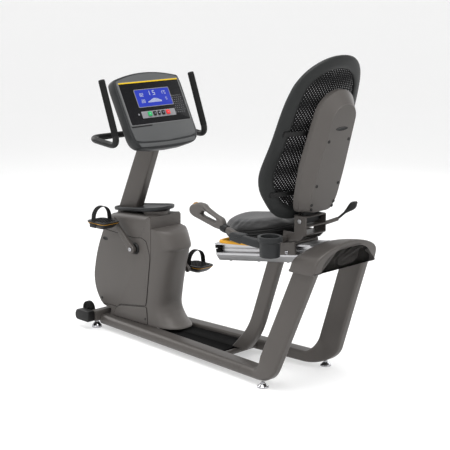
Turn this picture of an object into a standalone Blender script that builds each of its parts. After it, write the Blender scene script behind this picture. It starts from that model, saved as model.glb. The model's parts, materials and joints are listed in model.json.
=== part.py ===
"""Recumbent exercise bike, built as separate named pieces in metres.

+X runs forward from the seat to the console, +Y is the rider's left, +Z is up and the floor is z = 0.
"""
import math

import bmesh
import bpy
from mathutils import Matrix, Vector

for stale in list(bpy.data.objects):
    bpy.data.objects.remove(stale, do_unlink=True)

# ---------------------------------------------------------------- driving dimensions
GAP = 0.0003                 # clearance left between touching pieces

SIDE_Y = 0.200               # outer face of a side rail, at SIDE_X on the floor
SIDE_X = -0.28
TOE_IN = 0.0614              # the rails close towards the front by this much per metre
LEAN_IN = 0.095              # and the rear legs lean inwards by this much per metre of height
LEG_FLARE = 0.014            # the elbows spread by this much at their foot

RAIL_W = 0.080               # side rail: width, height, underside
RAIL_H = 0.050
RAIL_Z = 0.020
RAIL_FRONT = 0.6715
RAIL_REAR = -0.348

LEG_W = 0.110                # rear leg: fore-aft width, thickness, lean from the vertical
LEG_T = 0.045
LEG_LEAN = math.radians(20.8)
ELBOW_X = -0.420             # where the rail starts to bend up, and the radius of the bend
ELBOW_R = 0.120
LEG_TOP = 0.534

YOKE_HALF = 0.200            # arched yoke over both legs
YOKE_BASE = 0.5345
YOKE_TOP = 0.662

SLIDE_TILT = math.radians(8.4)   # the seat rail climbs to the rear
SLIDE_FRONT = (-0.056, 0.540)    # front top corner of the seat rail (x, z)
SLIDE_LENGTH = 0.690
SLIDE_HALF = 0.064
SLIDE_H = 0.0815

POST_W = 0.068               # post under the seat rail
POST_T = 0.042

FOOT_X = -0.494              # levelling feet
FOOT_Y = 0.2065
FRONT_FOOT_X = 0.7056
FRONT_FOOT_Y = 0.1348
FOOT_R = 0.0255

WHEEL_R = 0.036              # transport wheels
WHEEL_C = (0.7605, 0.138, 0.0875)

HOUSE_HALF = 0.100           # drive housing half width and wall
HOUSE_WALL = 0.0035

CRANK_C = (0.4455, 0.4385)   # crank axis (x, z)
CRANK_LENGTH = 0.170
CRANK_ANGLE = math.radians(44.8)
CRANK_Y = 0.1235             # mid plane of a crank arm
PEDAL_Y = 0.196
PEDAL_L = 0.138
PEDAL_W = 0.108
PEDAL_T = 0.030

FLY_C = (0.612, 0.222)       # flywheel axis (x, z) and radius
FLY_R = 0.118
PULLEY_R = 0.092
PULLEY_SMALL_R = 0.015
BELT_Y = 0.050
BELT_W = 0.016
BELT_T = 0.003

MAST_LEAN = 0.438            # mast runs back by this much per metre of height
MAST_X = 0.477               # mast centre line at MAST_Z
MAST_Z = 0.860
MAST_T = 0.048
MAST_BOTTOM = 0.560
MAST_TOP = 0.990

FACE_TILT = math.radians(27.28)  # console face leans back from the vertical
FACE_O = (0.361, 1.043)          # lower edge of the dark front panel (x, z)
PANEL_HALF = 0.1845
PANEL_H = 0.2085

SEAT_X = 0.0                 # seat carriage position along its rail

BACK_LEAN = 0.300            # backrest leans back by this much per metre of height
BACK_TOP = (-0.7385, 1.417)
RECLINE_C = (-0.568, 0.716)  # recline pivot (x, z)
PAN_Z = 0.6030

# ---------------------------------------------------------------- finishes
FINISHES = {
    "gunmetal": ((0.135, 0.122, 0.112), 0.42, 0.55),
    "dark_grey": ((0.045, 0.047, 0.050), 0.50, 0.0),
    "black": ((0.012, 0.012, 0.013), 0.45, 0.0),
    "rubber": ((0.018, 0.018, 0.018), 0.80, 0.0),
    "silver": ((0.78, 0.78, 0.79), 0.30, 0.9),
    "steel": ((0.45, 0.45, 0.46), 0.35, 0.9),
    "chrome": ((0.60, 0.60, 0.62), 0.12, 1.0),
    "amber": ((0.80, 0.36, 0.02), 0.40, 0.0),
    "cushion": ((0.10, 0.10, 0.105), 0.60, 0.0),
    "mesh": ((0.02, 0.022, 0.022), 0.85, 0.0),
    "glass": ((0.01, 0.01, 0.012), 0.12, 0.0),
    "screen": ((0.03, 0.07, 0.60), 0.25, 0.0),
    "green": ((0.02, 0.50, 0.14), 0.45, 0.0),
    "red": ((0.75, 0.04, 0.04), 0.45, 0.0),
    "cast_iron": ((0.09, 0.09, 0.09), 0.55, 0.8),
}
MATERIALS = {}
for key, (rgb, rough, metal) in FINISHES.items():
    mat = bpy.data.materials.new(key)
    mat.use_nodes = True
    shader = mat.node_tree.nodes["Principled BSDF"]
    shader.inputs["Base Color"].default_value = (*rgb, 1.0)
    shader.inputs["Roughness"].default_value = rough
    shader.inputs["Metallic"].default_value = metal
    mat.diffuse_color = (*rgb, 1.0)
    MATERIALS[key] = mat

parts = bpy.data.collections.new("exercise_bike")
bpy.context.scene.collection.children.link(parts)
guides = bpy.data.collections.new("guides")
bpy.context.scene.collection.children.link(guides)


# ---------------------------------------------------------------- modelling helpers
def face_out(form):
    """Turn the faces of a closed body outwards."""
    bmesh.ops.recalc_face_normals(form, faces=form.faces)
    if form.calc_volume(signed=True) < 0:
        bmesh.ops.reverse_faces(form, faces=form.faces)


def settle(obj):
    """Give every modifier the same result in the viewport and in a render."""
    for mod in obj.modifiers:
        mod.show_viewport = True
        mod.show_render = True
        if mod.type == "SUBSURF":
            mod.levels = mod.render_levels
        if mod.type == "SCREW":
            mod.steps = mod.render_steps


def finish(obj, name, finish_key, smooth=True):
    """Name a piece, give it its finish and put it in the collection of parts."""
    obj.name = name
    obj.data.name = name
    for holder in list(obj.users_collection):
        holder.objects.unlink(obj)
    parts.objects.link(obj)
    own = MATERIALS[finish_key].copy()
    own.name = name + "_finish"
    obj.data.materials.clear()
    obj.data.materials.append(own)
    if smooth and obj.type == "MESH":
        for face in obj.data.polygons:
            face.use_smooth = True
    settle(obj)
    return obj


def guide(obj):
    """Hide a cutter and move it out of the parts."""
    for holder in list(obj.users_collection):
        holder.objects.unlink(obj)
    guides.objects.link(obj)
    obj.hide_render = True
    obj.display_type = "WIRE"
    return obj


def mesh_object(name, verts, faces):
    """Object from computed vertices and faces, with the faces turned outwards."""
    data = bpy.data.meshes.new(name)
    data.from_pydata([tuple(v) for v in verts], [], [tuple(f) for f in faces])
    form = bmesh.new()
    form.from_mesh(data)
    face_out(form)
    form.to_mesh(data)
    form.free()
    obj = bpy.data.objects.new(name, data)
    parts.objects.link(obj)
    return obj


def bevel(obj, width, segments=2, angle=40.0):
    mod = obj.modifiers.new("edges", "BEVEL")
    mod.width = width
    mod.segments = segments
    mod.limit_method = "ANGLE"
    mod.angle_limit = math.radians(angle)
    mod.use_clamp_overlap = True
    return mod


def boolean(obj, other, operation="DIFFERENCE"):
    mod = obj.modifiers.new("cut" if operation == "DIFFERENCE" else "join", "BOOLEAN")
    mod.object = other
    mod.operation = operation
    mod.solver = "EXACT"
    return mod


def box(size, centre, turn=None, rounding=0.0, segments=2):
    """Block with its sides along the axes, turned by a rotation matrix if one is given."""
    bpy.ops.mesh.primitive_cube_add(size=1.0)
    obj = bpy.context.object
    obj.data.transform(Matrix.Diagonal((*size, 1.0)))
    obj.location = centre
    if turn is not None:
        obj.rotation_euler = turn.to_euler()
    if rounding:
        bevel(obj, rounding, segments)
    return obj


def cylinder(radius, length, centre, axis="Y", sides=32, top=None):
    """Round bar or cone along an axis, centred."""
    bpy.ops.mesh.primitive_cone_add(
        vertices=sides, radius1=radius, radius2=radius if top is None else top, depth=length
    )
    obj = bpy.context.object
    if axis == "Y":
        obj.data.transform(Matrix.Rotation(math.radians(-90), 4, "X"))
    if axis == "X":
        obj.data.transform(Matrix.Rotation(math.radians(90), 4, "Y"))
    obj.location = centre
    return obj


def turned(profile, centre, axis="Z", sides=32):
    """Solid turned from (radius, height) points; a profile that ends where it starts makes a ring."""
    ring = profile[0] == profile[-1]
    points = profile[:-1] if ring else profile
    edges = [(i, i + 1) for i in range(len(points) - 1)]
    if ring:
        edges.append((len(points) - 1, 0))
    data = bpy.data.meshes.new("turned")
    data.from_pydata([(r, 0.0, h) for r, h in points], edges, [])
    source = bpy.data.objects.new("turned", data)
    bpy.context.scene.collection.objects.link(source)
    mod = source.modifiers.new("turn", "SCREW")
    mod.steps = sides
    mod.render_steps = sides
    mod.use_merge_vertices = True
    mod.merge_threshold = 0.00001
    bpy.context.view_layer.update()
    obj = settled_copy(source)
    if axis == "Y":
        obj.data.transform(Matrix.Rotation(math.radians(-90), 4, "X"))
    obj.location = centre
    return obj


def settled_copy(source):
    """Mesh object with the finished shape of a curve or of a turned profile."""
    seen = source.evaluated_get(bpy.context.evaluated_depsgraph_get())
    mesh = bpy.data.meshes.new_from_object(seen)
    bpy.data.objects.remove(source, do_unlink=True)
    form = bmesh.new()
    form.from_mesh(mesh)
    bmesh.ops.remove_doubles(form, verts=form.verts, dist=0.00001)
    face_out(form)
    form.to_mesh(mesh)
    form.free()
    obj = bpy.data.objects.new("settled", mesh)
    parts.objects.link(obj)
    return obj


def rounded(width, height, radii, steps=4):
    """Rounded rectangle about the origin; radii start at +u +v and go anticlockwise."""
    out = []
    corners = ((1, 1, 0), (-1, 1, 90), (-1, -1, 180), (1, -1, 270))
    for (su, sv, start), radius in zip(corners, radii):
        cu = su * (width / 2 - radius)
        cv = sv * (height / 2 - radius)
        for k in range(steps + 1):
            a = math.radians(start + 90.0 * k / steps)
            out.append((cu + radius * math.cos(a), cv + radius * math.sin(a)))
    return out


def loft(sections):
    """Skin through closed rings of equal count, with both ends closed."""
    count = len(sections[0])
    verts = [p for ring in sections for p in ring]
    faces = []
    for i in range(len(sections) - 1):
        for j in range(count):
            k = (j + 1) % count
            faces.append((i * count + j, i * count + k, (i + 1) * count + k, (i + 1) * count + j))
    faces.append(tuple(range(count)))
    last = (len(sections) - 1) * count
    faces.append(tuple(last + j for j in reversed(range(count))))
    return mesh_object("loft", verts, faces)


def slab(outline, thickness, plane="XZ", at=0.0, holes=()):
    """Flat piece from an outline of two coordinates, thick about its mid plane."""
    data = bpy.data.curves.new("outline", "CURVE")
    data.dimensions = "2D"
    data.fill_mode = "BOTH"
    data.extrude = thickness / 2
    for loop in (outline, *holes):
        spline = data.splines.new("POLY")
        spline.points.add(len(loop) - 1)
        for point, (u, v) in zip(spline.points, loop):
            point.co = (u, v, 0.0, 1.0)
        spline.use_cyclic_u = True
    guide_obj = bpy.data.objects.new("outline", data)
    bpy.context.scene.collection.objects.link(guide_obj)
    bpy.context.view_layer.update()
    obj = settled_copy(guide_obj)
    turn = {
        "XY": Matrix.Identity(4),
        "XZ": Matrix(((1, 0, 0, 0), (0, 0, 1, 0), (0, 1, 0, 0), (0, 0, 0, 1))),
        "YZ": Matrix(((0, 0, 1, 0), (1, 0, 0, 0), (0, 1, 0, 0), (0, 0, 0, 1))),
    }[plane]
    shift = {"XY": (0, 0, at), "XZ": (0, at, 0), "YZ": (at, 0, 0)}[plane]
    form = bmesh.new()
    form.from_mesh(obj.data)
    form.transform(Matrix.Translation(shift) @ turn)
    face_out(form)
    form.to_mesh(obj.data)
    form.free()
    return obj


def fillet(points, radii, steps=5):
    """Path through the corner points with each inner corner rounded to its radius."""
    pts = [Vector(p) for p in points]
    out = [pts[0]]
    for i in range(1, len(pts) - 1):
        a = (pts[i - 1] - pts[i]).normalized()
        b = (pts[i + 1] - pts[i]).normalized()
        half = a.angle(b) / 2
        reach = radii[i - 1] / math.tan(half)
        centre = pts[i] + (a + b).normalized() * (radii[i - 1] / math.sin(half))
        start = pts[i] + a * reach - centre
        end = pts[i] + b * reach - centre
        sweep = start.angle(end)
        for k in range(steps + 1):
            t = k / steps
            mix = (start * math.sin((1 - t) * sweep) + end * math.sin(t * sweep)) / math.sin(sweep)
            out.append(centre + mix)
    out.append(pts[-1])
    return out


def tube(path, radius, sides_step=2):
    """Round bar along a path, closed at both ends."""
    data = bpy.data.curves.new("tube", "CURVE")
    data.dimensions = "3D"
    data.fill_mode = "FULL"
    data.bevel_depth = radius
    data.bevel_resolution = sides_step
    data.use_fill_caps = True
    spline = data.splines.new("POLY")
    spline.points.add(len(path) - 1)
    for point, co in zip(spline.points, path):
        point.co = (*co, 1.0)
    obj = bpy.data.objects.new("tube", data)
    bpy.context.scene.collection.objects.link(obj)
    bpy.context.view_layer.update()
    return settled_copy(obj)


def set_origin(obj, point):
    """Move the origin of a piece to a point in the world, leaving its shape where it is."""
    bpy.context.view_layer.update()
    shift = obj.matrix_world.inverted() @ Vector(point)
    obj.data.transform(Matrix.Translation(-shift))
    obj.location = obj.matrix_world @ shift
    return obj


def smoothstep(t):
    t = min(1.0, max(0.0, t))
    return t * t * (3 - 2 * t)


# ---------------------------------------------------------------- base frame
def side_rail(side):
    """Flat-oval rail lying on edge of the deck, its outer side fully rounded."""
    rings = []
    for x in (RAIL_REAR + GAP, RAIL_FRONT):
        outer = SIDE_Y - TOE_IN * (x - SIDE_X)
        ring = []
        for u, v in rounded(RAIL_W, RAIL_H, (0.0245, 0.010, 0.010, 0.0245), 5):
            ring.append((x, side * (outer - RAIL_W / 2 + u), RAIL_Z + RAIL_H / 2 + v))
        rings.append(ring)
    return loft(rings)


def rear_leg(side):
    """Rail end, cast elbow and upright in one weldment, swept along a bent centre line."""
    stations = [(RAIL_REAR - GAP, 0.0, 0.0), (ELBOW_X, 0.0, 0.0)]
    bend = math.pi / 2 - LEG_LEAN
    count = 10
    for k in range(1, count + 1):
        stations.append((None, bend * k / count, k / count))
    rings = []
    mid_z = RAIL_Z + RAIL_H / 2
    for x, turn, part in stations:
        if x is None:
            x = ELBOW_X - ELBOW_R * math.sin(turn)
            z = mid_z + ELBOW_R * (1 - math.cos(turn))
        else:
            z = mid_z
        rings.append(leg_ring(side, x, z, turn, smoothstep(part)))
    along = (-math.sin(LEG_LEAN), math.cos(LEG_LEAN))
    x_end = ELBOW_X - ELBOW_R * math.sin(bend)
    z_end = mid_z + ELBOW_R * (1 - math.cos(bend))
    reach = (LEG_TOP - z_end) / along[1]
    ring = leg_ring(side, x_end + along[0] * reach, LEG_TOP, bend, 1.0)
    level = []
    for px, py, pz in ring:
        rise = LEG_TOP - pz
        level.append((px + rise * along[0] / along[1], py - side * LEAN_IN * rise, LEG_TOP))
    rings.append(level)
    return loft(rings)


def leg_ring(side, x, z, turn, blend):
    """Section of the rear leg; blend runs from the rail section to the upright section."""
    wide = RAIL_W + (LEG_T - RAIL_W) * blend
    deep = RAIL_H + (LEG_W - RAIL_H) * blend
    outer = 0.0245 + (0.0120 - 0.0245) * blend
    inner = 0.010 + (0.0120 - 0.010) * blend
    normal = (math.sin(turn), math.cos(turn))
    ring = []
    for u, v in rounded(wide, deep, (outer, inner, inner, outer), 5):
        px = x + normal[0] * v
        pz = z + normal[1] * v
        lean = blend * (LEAN_IN * (pz - RAIL_Z) - LEG_FLARE)
        face = SIDE_Y - TOE_IN * (px - SIDE_X) - lean
        ring.append((px, side * (face - wide / 2 + u), pz))
    return ring


def yoke():
    """Arched bridge that caps both legs and carries the rear of the seat rail."""
    rear = [
        (0.200, YOKE_BASE), (0.199, 0.575), (0.192, 0.597), (0.175, 0.614), (0.145, 0.630),
        (0.105, 0.645), (0.060, 0.656), (0.0, YOKE_TOP),
    ]
    under = [
        (0.0, 0.622), (0.060, 0.621), (0.085, 0.616), (0.108, 0.606), (0.128, 0.592), (0.139, 0.575),
        (0.143, 0.556), (0.144, YOKE_BASE),
    ]
    outline = rear + [(-y, z) for y, z in reversed(rear[:-1])]
    outline += [(-y, z) for y, z in reversed(under)] + under[1:]
    rings = []
    for at, drop in ((0.0, 0.0), (0.5, 0.008), (1.0, 0.024)):
        ring = []
        for y, z in outline:
            lift = max(0.0, (z - 0.575) / (YOKE_TOP - 0.575))
            zz = z - drop * lift
            x_rear = -0.76206 - 0.283 * (z - YOKE_BASE)
            x_front = -0.6255 - 0.33 * (z - YOKE_BASE)
            ring.append((x_rear + (x_front - x_rear) * at, y, zz))
        rings.append(ring)
    obj = loft(rings)
    bevel(obj, 0.006, 2, 50)
    boolean(obj, guide(end_shield()), "UNION")
    return obj


def end_shield():
    """Plate that hangs from the arch and closes the rear of the seat rail."""
    half = [(0.068, 0.6300), (0.068, 0.592), (0.054, 0.565), (0.038, 0.553)]
    outline = half + [(-y, z) for y, z in reversed(half)]
    rings = []
    for depth in (0.0010, 0.0100):
        ring = []
        for y, z in outline:
            ring.append((-0.76206 - 0.283 * (z - YOKE_BASE) + depth, y, z))
        rings.append(ring)
    obj = loft(rings)
    bevel(obj, 0.002, 1, 50)
    return obj


def foot(x, y, height):
    """Bell-shaped levelling foot with its stem."""
    profile = [
        (0.0, height), (0.0075, height), (0.0075, height * 0.74), (0.0135, height * 0.66),
        (0.0195, height * 0.42), (FOOT_R, height * 0.20), (FOOT_R, 0.0), (0.0, 0.0),
    ]
    return turned(profile, (x, y, 0.0), "Z", 24)


for side, tag in ((1, "left"), (-1, "right")):
    finish(side_rail(side), f"side_rail_{tag}", "gunmetal")
    finish(rear_leg(side), f"rear_leg_{tag}", "gunmetal")
    finish(foot(FOOT_X, side * FOOT_Y, 0.0250), f"levelling_foot_rear_{tag}", "chrome")
    finish(foot(FRONT_FOOT_X, side * FRONT_FOOT_Y, 0.0395), f"levelling_foot_front_{tag}", "chrome")

finish(yoke(), "rear_yoke", "gunmetal")

stabilizer = box((0.050, 0.329, 0.050), (0.6970, 0.0, 0.0650), None, 0.006)
finish(stabilizer, "front_stabilizer", "gunmetal")

for side, tag in ((1, "left"), (-1, "right")):
    cap_outline = [
        (0.683, 0.040), (0.776, 0.040), (0.7875, 0.052), (0.7875, 0.076), (0.776, 0.0935), (0.683, 0.0935),
    ]
    cap = slab(cap_outline, 0.042, "XZ", side * (0.1648 + 0.021))
    bevel(cap, 0.006, 2, 50)
    pin = guide(cylinder(0.0050, 0.060, (WHEEL_C[0], side * 0.150, WHEEL_C[2]), "Y", 16))
    boolean(cap, pin, "UNION")
    finish(cap, f"stabilizer_cap_{tag}", "gunmetal", False)
    tyre = [
        (WHEEL_R - 0.003, 0.0125), (WHEEL_R, 0.0095), (WHEEL_R, -0.0095), (WHEEL_R - 0.003, -0.0125),
        (0.0056, -0.0125), (0.0056, 0.0125), (WHEEL_R - 0.003, 0.0125),
    ]
    wheel = turned(tyre, (WHEEL_C[0], side * WHEEL_C[1], WHEEL_C[2]), "Y", 32)
    finish(wheel, f"transport_wheel_{tag}", "rubber")


def deck():
    """Step-over deck between the rails, with a raised spine along its middle."""
    rings = []
    for x in (-0.1295, 0.3300):
        half = SIDE_Y - TOE_IN * (x - SIDE_X) - RAIL_W - 0.0010
        ring = [
            (x, half, 0.030), (x, half, 0.056), (x, 0.022, 0.056), (x, 0.016, 0.0615),
            (x, -0.016, 0.0615), (x, -0.022, 0.056), (x, -half, 0.056), (x, -half, 0.030),
        ]
        rings.append(ring)
    return loft(rings)


finish(deck(), "step_deck", "black", False)

cross_half = SIDE_Y - TOE_IN * (-0.146 - SIDE_X) - RAIL_W - 0.0008
finish(cylinder(0.0125, 2 * cross_half, (-0.1460, 0.0, 0.0420), "Y", 24), "cross_tube", "steel")


def slide_point(s, n):
    """Point on the seat rail: s metres back from its front end, n above its top face."""
    c, t = math.cos(SLIDE_TILT), math.sin(SLIDE_TILT)
    return (SLIDE_FRONT[0] - s * c + n * t, SLIDE_FRONT[1] + s * t + n * c)


def sweep_xz(sections):
    """Loft of rings given as (x, z, tangent angle from vertical, width, thickness, radius)."""
    rings = []
    for x, z, lean, wide, thick, radius in sections:
        ring = []
        for u, v in rounded(wide, thick, (radius,) * 4, 3):
            ring.append((x + u * math.cos(lean), v, z + u * math.sin(lean)))
        rings.append(ring)
    return loft(rings)


def post():
    """Post from the deck up to the seat rail, bent forward at its foot."""
    lean = math.radians(19.1)
    low_lean = math.radians(44.0)
    rows = []
    x, z = -0.1715, 0.0650
    for k in range(7):
        t = k / 6
        now = low_lean + (lean - low_lean) * smoothstep(t)
        rows.append((x, z, now, POST_W, POST_T, 0.010))
        x -= math.sin(now) * 0.036
        z += math.cos(now) * 0.036
    rows_top = slide_point(0.0, -SLIDE_H - 0.0008)
    tan = math.tan(SLIDE_TILT)
    x0, z0 = rows[-1][0], rows[-1][1]
    reach = ((rows_top[1] - (x0 - rows_top[0]) * tan) - z0) / (math.cos(lean) - math.sin(lean) * tan)
    end = (x0 - math.sin(lean) * reach, z0 + math.cos(lean) * reach)
    obj = sweep_xz(rows + [(end[0], end[1], lean, POST_W, POST_T, 0.010)])
    ring = obj.data.vertices[-16:]
    for vert in ring:
        local = rows_top[1] - (vert.co.x - rows_top[0]) * tan
        rise = (local - vert.co.z) / (math.cos(lean) - math.sin(lean) * tan)
        vert.co.x -= math.sin(lean) * rise
        vert.co.z += math.cos(lean) * rise
    foot_ring = obj.data.vertices[:16]
    for vert in foot_ring:
        rise = (0.0625 - vert.co.z) / math.cos(low_lean)
        vert.co.x -= math.sin(low_lean) * rise
        vert.co.z += math.cos(low_lean) * rise
    return obj


finish(post(), "centre_post", "gunmetal")


def slide_rail():
    """Aluminium extrusion with a deep groove down each side."""
    half = [
        (SLIDE_HALF, 0.0), (SLIDE_HALF, -0.0075), (0.0455, -0.0105), (0.0455, -0.0400),
        (0.0610, -0.0440), (0.0610, -0.0540), (0.0430, -SLIDE_H),
    ]
    outline = half + [(-y, n) for y, n in reversed(half)]
    rings = []
    for s in (0.0, SLIDE_LENGTH):
        ring = []
        for y, n in outline:
            x, z = slide_point(s, n)
            ring.append((x, y, z))
        rings.append(ring)
    obj = loft(rings)
    bevel(obj, 0.0012, 1, 35)
    back = slide_point(SLIDE_LENGTH - 0.030, 0.0)
    notch_turn = Matrix.Rotation(SLIDE_TILT, 3, "Y")
    notch = guide(box((0.165, 0.200, 0.084), (back[0], 0.0, back[1] - 0.0005), notch_turn))
    boolean(obj, notch)
    return obj


finish(slide_rail(), "seat_rail", "silver", False)


# ---------------------------------------------------------------- drive housing
def seam_x(z):
    """Rear edge of the housing sides, where the spine cover starts."""
    return 0.3395 + 0.1484 * max(0.0, 0.430 - max(z, 0.150))


HOUSE_OUTLINE = [
    (seam_x(0.0712), 0.0712), (seam_x(0.150), 0.1500), (seam_x(0.43), 0.4300), (0.3395, 0.5950),
    (0.3480, 0.6030), (0.3650, 0.6050), (0.5000, 0.5960),
    (0.6100, 0.5860), (0.6500, 0.5700), (0.6820, 0.5350), (0.7090, 0.4770), (0.7370, 0.4150),
    (0.7570, 0.3550), (0.7710, 0.2960), (0.7770, 0.2465), (0.7680, 0.1900), (0.7480, 0.1480),
    (0.7150, 0.1080), (0.6720, 0.0980), (0.6720, 0.0945), (0.6430, 0.0945), (0.6430, 0.0712),
]


def mast_ring(z, grow=0.0):
    """Section of the mast at a height, cut level."""
    wide = 0.1200 + 0.05 * (MAST_Z - z) + 2 * grow
    x = MAST_X - MAST_LEAN * (z - MAST_Z)
    return [(x + u, v, z) for u, v in rounded(wide, MAST_T + 2 * grow, (0.011,) * 4, 4)]


def house_half(side):
    """Half of the drive housing, a moulded shell with its parting face on the centre plane."""
    inner = side * GAP / 2
    outer = side * HOUSE_HALF
    count = len(HOUSE_OUTLINE)
    verts = [(x, inner, z) for x, z in HOUSE_OUTLINE] + [(x, outer, z) for x, z in HOUSE_OUTLINE]
    faces = [(j, j + 1, count + j + 1, count + j) for j in range(count - 1)]
    faces.append(tuple(range(count, 2 * count)))
    obj = mesh_object("shell", verts, faces)
    outward = obj.data.polygons[len(obj.data.polygons) - 1].normal.y * side
    if outward < 0:
        obj.data.flip_normals()
    mod = obj.modifiers.new("rounding", "BEVEL")
    mod.width = 0.020
    mod.segments = 3
    mod.limit_method = "ANGLE"
    mod.angle_limit = math.radians(60)
    wall = obj.modifiers.new("wall", "SOLIDIFY")
    wall.thickness = HOUSE_WALL
    wall.offset = -1.0
    wall.use_even_offset = True
    bore = guide(cylinder(0.0300, 0.060, (CRANK_C[0], side * HOUSE_HALF, CRANK_C[1]), "Y", 32))
    boolean(obj, bore)
    boolean(obj, mast_hole)
    return obj


mast_hole = guide(loft([mast_ring(0.5200, 0.001), mast_ring(0.7000, 0.001)]))
def mirrored_copy(source):
    """Mesh object with the finished shape of a left-hand piece, mirrored to the right."""
    seen = source.evaluated_get(bpy.context.evaluated_depsgraph_get())
    mesh = bpy.data.meshes.new_from_object(seen)
    mesh.transform(source.matrix_world)
    mesh.transform(Matrix.Scale(-1.0, 4, (0.0, 1.0, 0.0)))
    mesh.flip_normals()
    obj = bpy.data.objects.new("mirrored", mesh)
    parts.objects.link(obj)
    return obj


left_shell = finish(house_half(1), "shroud_left", "gunmetal", False)
bpy.context.view_layer.update()
finish(mirrored_copy(left_shell), "shroud_right", "gunmetal", False)


def spine_depth(half, reach, power):
    """Depth of a rounded section whose farthest point across the diagonal lies at a given reach."""
    low, high = 0.004, 0.200
    for _ in range(30):
        mid = (low + high) / 2
        best = 0.0
        for k in range(46):
            a = math.radians(2 * k)
            best = max(best, mid * math.cos(a) ** power + half * math.sin(a) ** power)
        if best < reach:
            low = mid
        else:
            high = mid
    return low


def spine():
    """Rear cover of the housing, with its ledge and the flared foot."""
    power = 0.78
    profile = [
        (0.0722, 0.200, 0.0990), (0.0800, 0.206, 0.0985), (0.0980, 0.234, 0.0980), (0.1250, 0.262, 0.0975),
        (0.1600, 0.277, 0.0970), (0.2250, 0.268, 0.0970), (0.3350, 0.250, 0.0970),
        (0.4300, 0.226, 0.0970), (0.4480, 0.222, 0.0970), (0.4580, 0.211, 0.0970), (0.4700, 0.212, 0.0970),
        (0.5100, 0.228, 0.0970), (0.5600, 0.248, 0.0970), (0.5850, 0.262, 0.0960), (0.6000, 0.280, 0.0930),
    ]
    steps = 12
    verts = []
    for z, reach, half in profile:
        front = seam_x(z) - 0.0036
        depth = spine_depth(half, front - reach, power)
        for k in range(steps + 1):
            a = math.pi * k / steps - math.pi / 2
            sy = math.copysign(abs(math.sin(a)) ** power, math.sin(a))
            cx = abs(math.cos(a)) ** power
            verts.append((front - depth * cx, half * sy, z))
    row = steps + 1
    faces = []
    for i in range(len(profile) - 1):
        for k in range(steps):
            faces.append((i * row + k, i * row + k + 1, (i + 1) * row + k + 1, (i + 1) * row + k))
    top = (len(profile) - 1) * row
    faces.append(tuple(top + k for k in range(row)))
    obj = mesh_object("spine", verts, faces)
    if obj.data.polygons[steps // 2].normal.x > 0:
        obj.data.flip_normals()
    wall = obj.modifiers.new("wall", "SOLIDIFY")
    wall.thickness = HOUSE_WALL
    wall.offset = -1.0
    return obj


finish(spine(), "shroud_spine", "gunmetal")


def tray():
    """Accessory tray around the foot of the mast, round at the rear and rising to it."""
    outline = []
    for k in range(13):
        a = math.radians(90 + 180 * k / 12)
        outline.append((0.4050 + 0.088 * math.cos(a), 0.088 * math.sin(a)))
    outline += [(0.5600, -0.080), (0.6400, -0.064), (0.6620, -0.040), (0.6620, 0.040), (0.6400, 0.064), (0.5600, 0.080)]
    slope = 0.120
    rings = []
    for lift in (0.0, 0.018):
        ring = []
        for x, y in outline:
            ring.append((x, y, 0.6010 + slope * (0.5600 - x) + lift))
        rings.append(ring)
    obj = loft(rings)
    bevel(obj, 0.005, 2, 50)
    boolean(obj, mast_hole)
    return obj


finish(tray(), "accessory_tray", "dark_grey", False)

mast = loft([mast_ring(z) for z in (MAST_BOTTOM, MAST_TOP)])
head = guide(box((0.0660, 0.060, 0.050), (0.4985, 0.0, 0.9650), None, 0.004))
boolean(mast, head, "UNION")
finish(mast, "console_mast", "gunmetal", False)


# ---------------------------------------------------------------- drive inside the housing
def drive_frame():
    """Welded inner frame: base slab, upright plate, crank bearing shell and flywheel bearing."""
    outline = [
        (0.4000, 0.0600), (0.6200, 0.0600), (0.6560, 0.1900), (0.6560, 0.2600), (0.5900, 0.3000),
        (0.5000, 0.4100), (0.6200, 0.5000), (0.6500, 0.5580), (0.5600, 0.5580), (0.4700, 0.4900),
        (0.4050, 0.4750), (0.3950, 0.4150),
    ]
    obj = slab(outline, 0.020, "XZ", 0.0)
    base = guide(box((0.2814, 0.1080, 0.0420), (0.5308, 0.0, 0.0470)))
    boolean(obj, base, "UNION")
    shell = guide(cylinder(0.0240, 0.0600, (CRANK_C[0], 0.0, CRANK_C[1]), "Y", 32))
    boolean(obj, shell, "UNION")
    hub = guide(cylinder(0.0160, 0.0364, (FLY_C[0], 0.0, FLY_C[1]), "Y", 28))
    boolean(obj, hub, "UNION")
    crank_bore = guide(cylinder(0.0130, 0.2000, (CRANK_C[0], 0.0, CRANK_C[1]), "Y", 32))
    boolean(obj, crank_bore)
    fly_bore = guide(cylinder(0.0085, 0.2000, (FLY_C[0], 0.0, FLY_C[1]), "Y", 24))
    boolean(obj, fly_bore)
    return obj


finish(drive_frame(), "drive_frame", "steel", False)

axle = cylinder(0.0125, 0.2320, (CRANK_C[0], 0.0, CRANK_C[1]), "Y", 32)
finish(axle, "crank_axle", "steel")

pulley_profile = [
    (0.0130, 0.0100), (0.0300, 0.0100), (0.0320, 0.0040), (0.0790, 0.0040), (0.0820, 0.0095),
    (PULLEY_R, 0.0095), (PULLEY_R, -0.0095), (0.0820, -0.0095), (0.0790, -0.0040), (0.0320, -0.0040),
    (0.0300, -0.0100), (0.0130, -0.0100), (0.0130, 0.0100),
]
pulley = turned(pulley_profile, (CRANK_C[0], BELT_Y, CRANK_C[1]), "Y", 36)
finish(pulley, "drive_pulley", "black")

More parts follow.
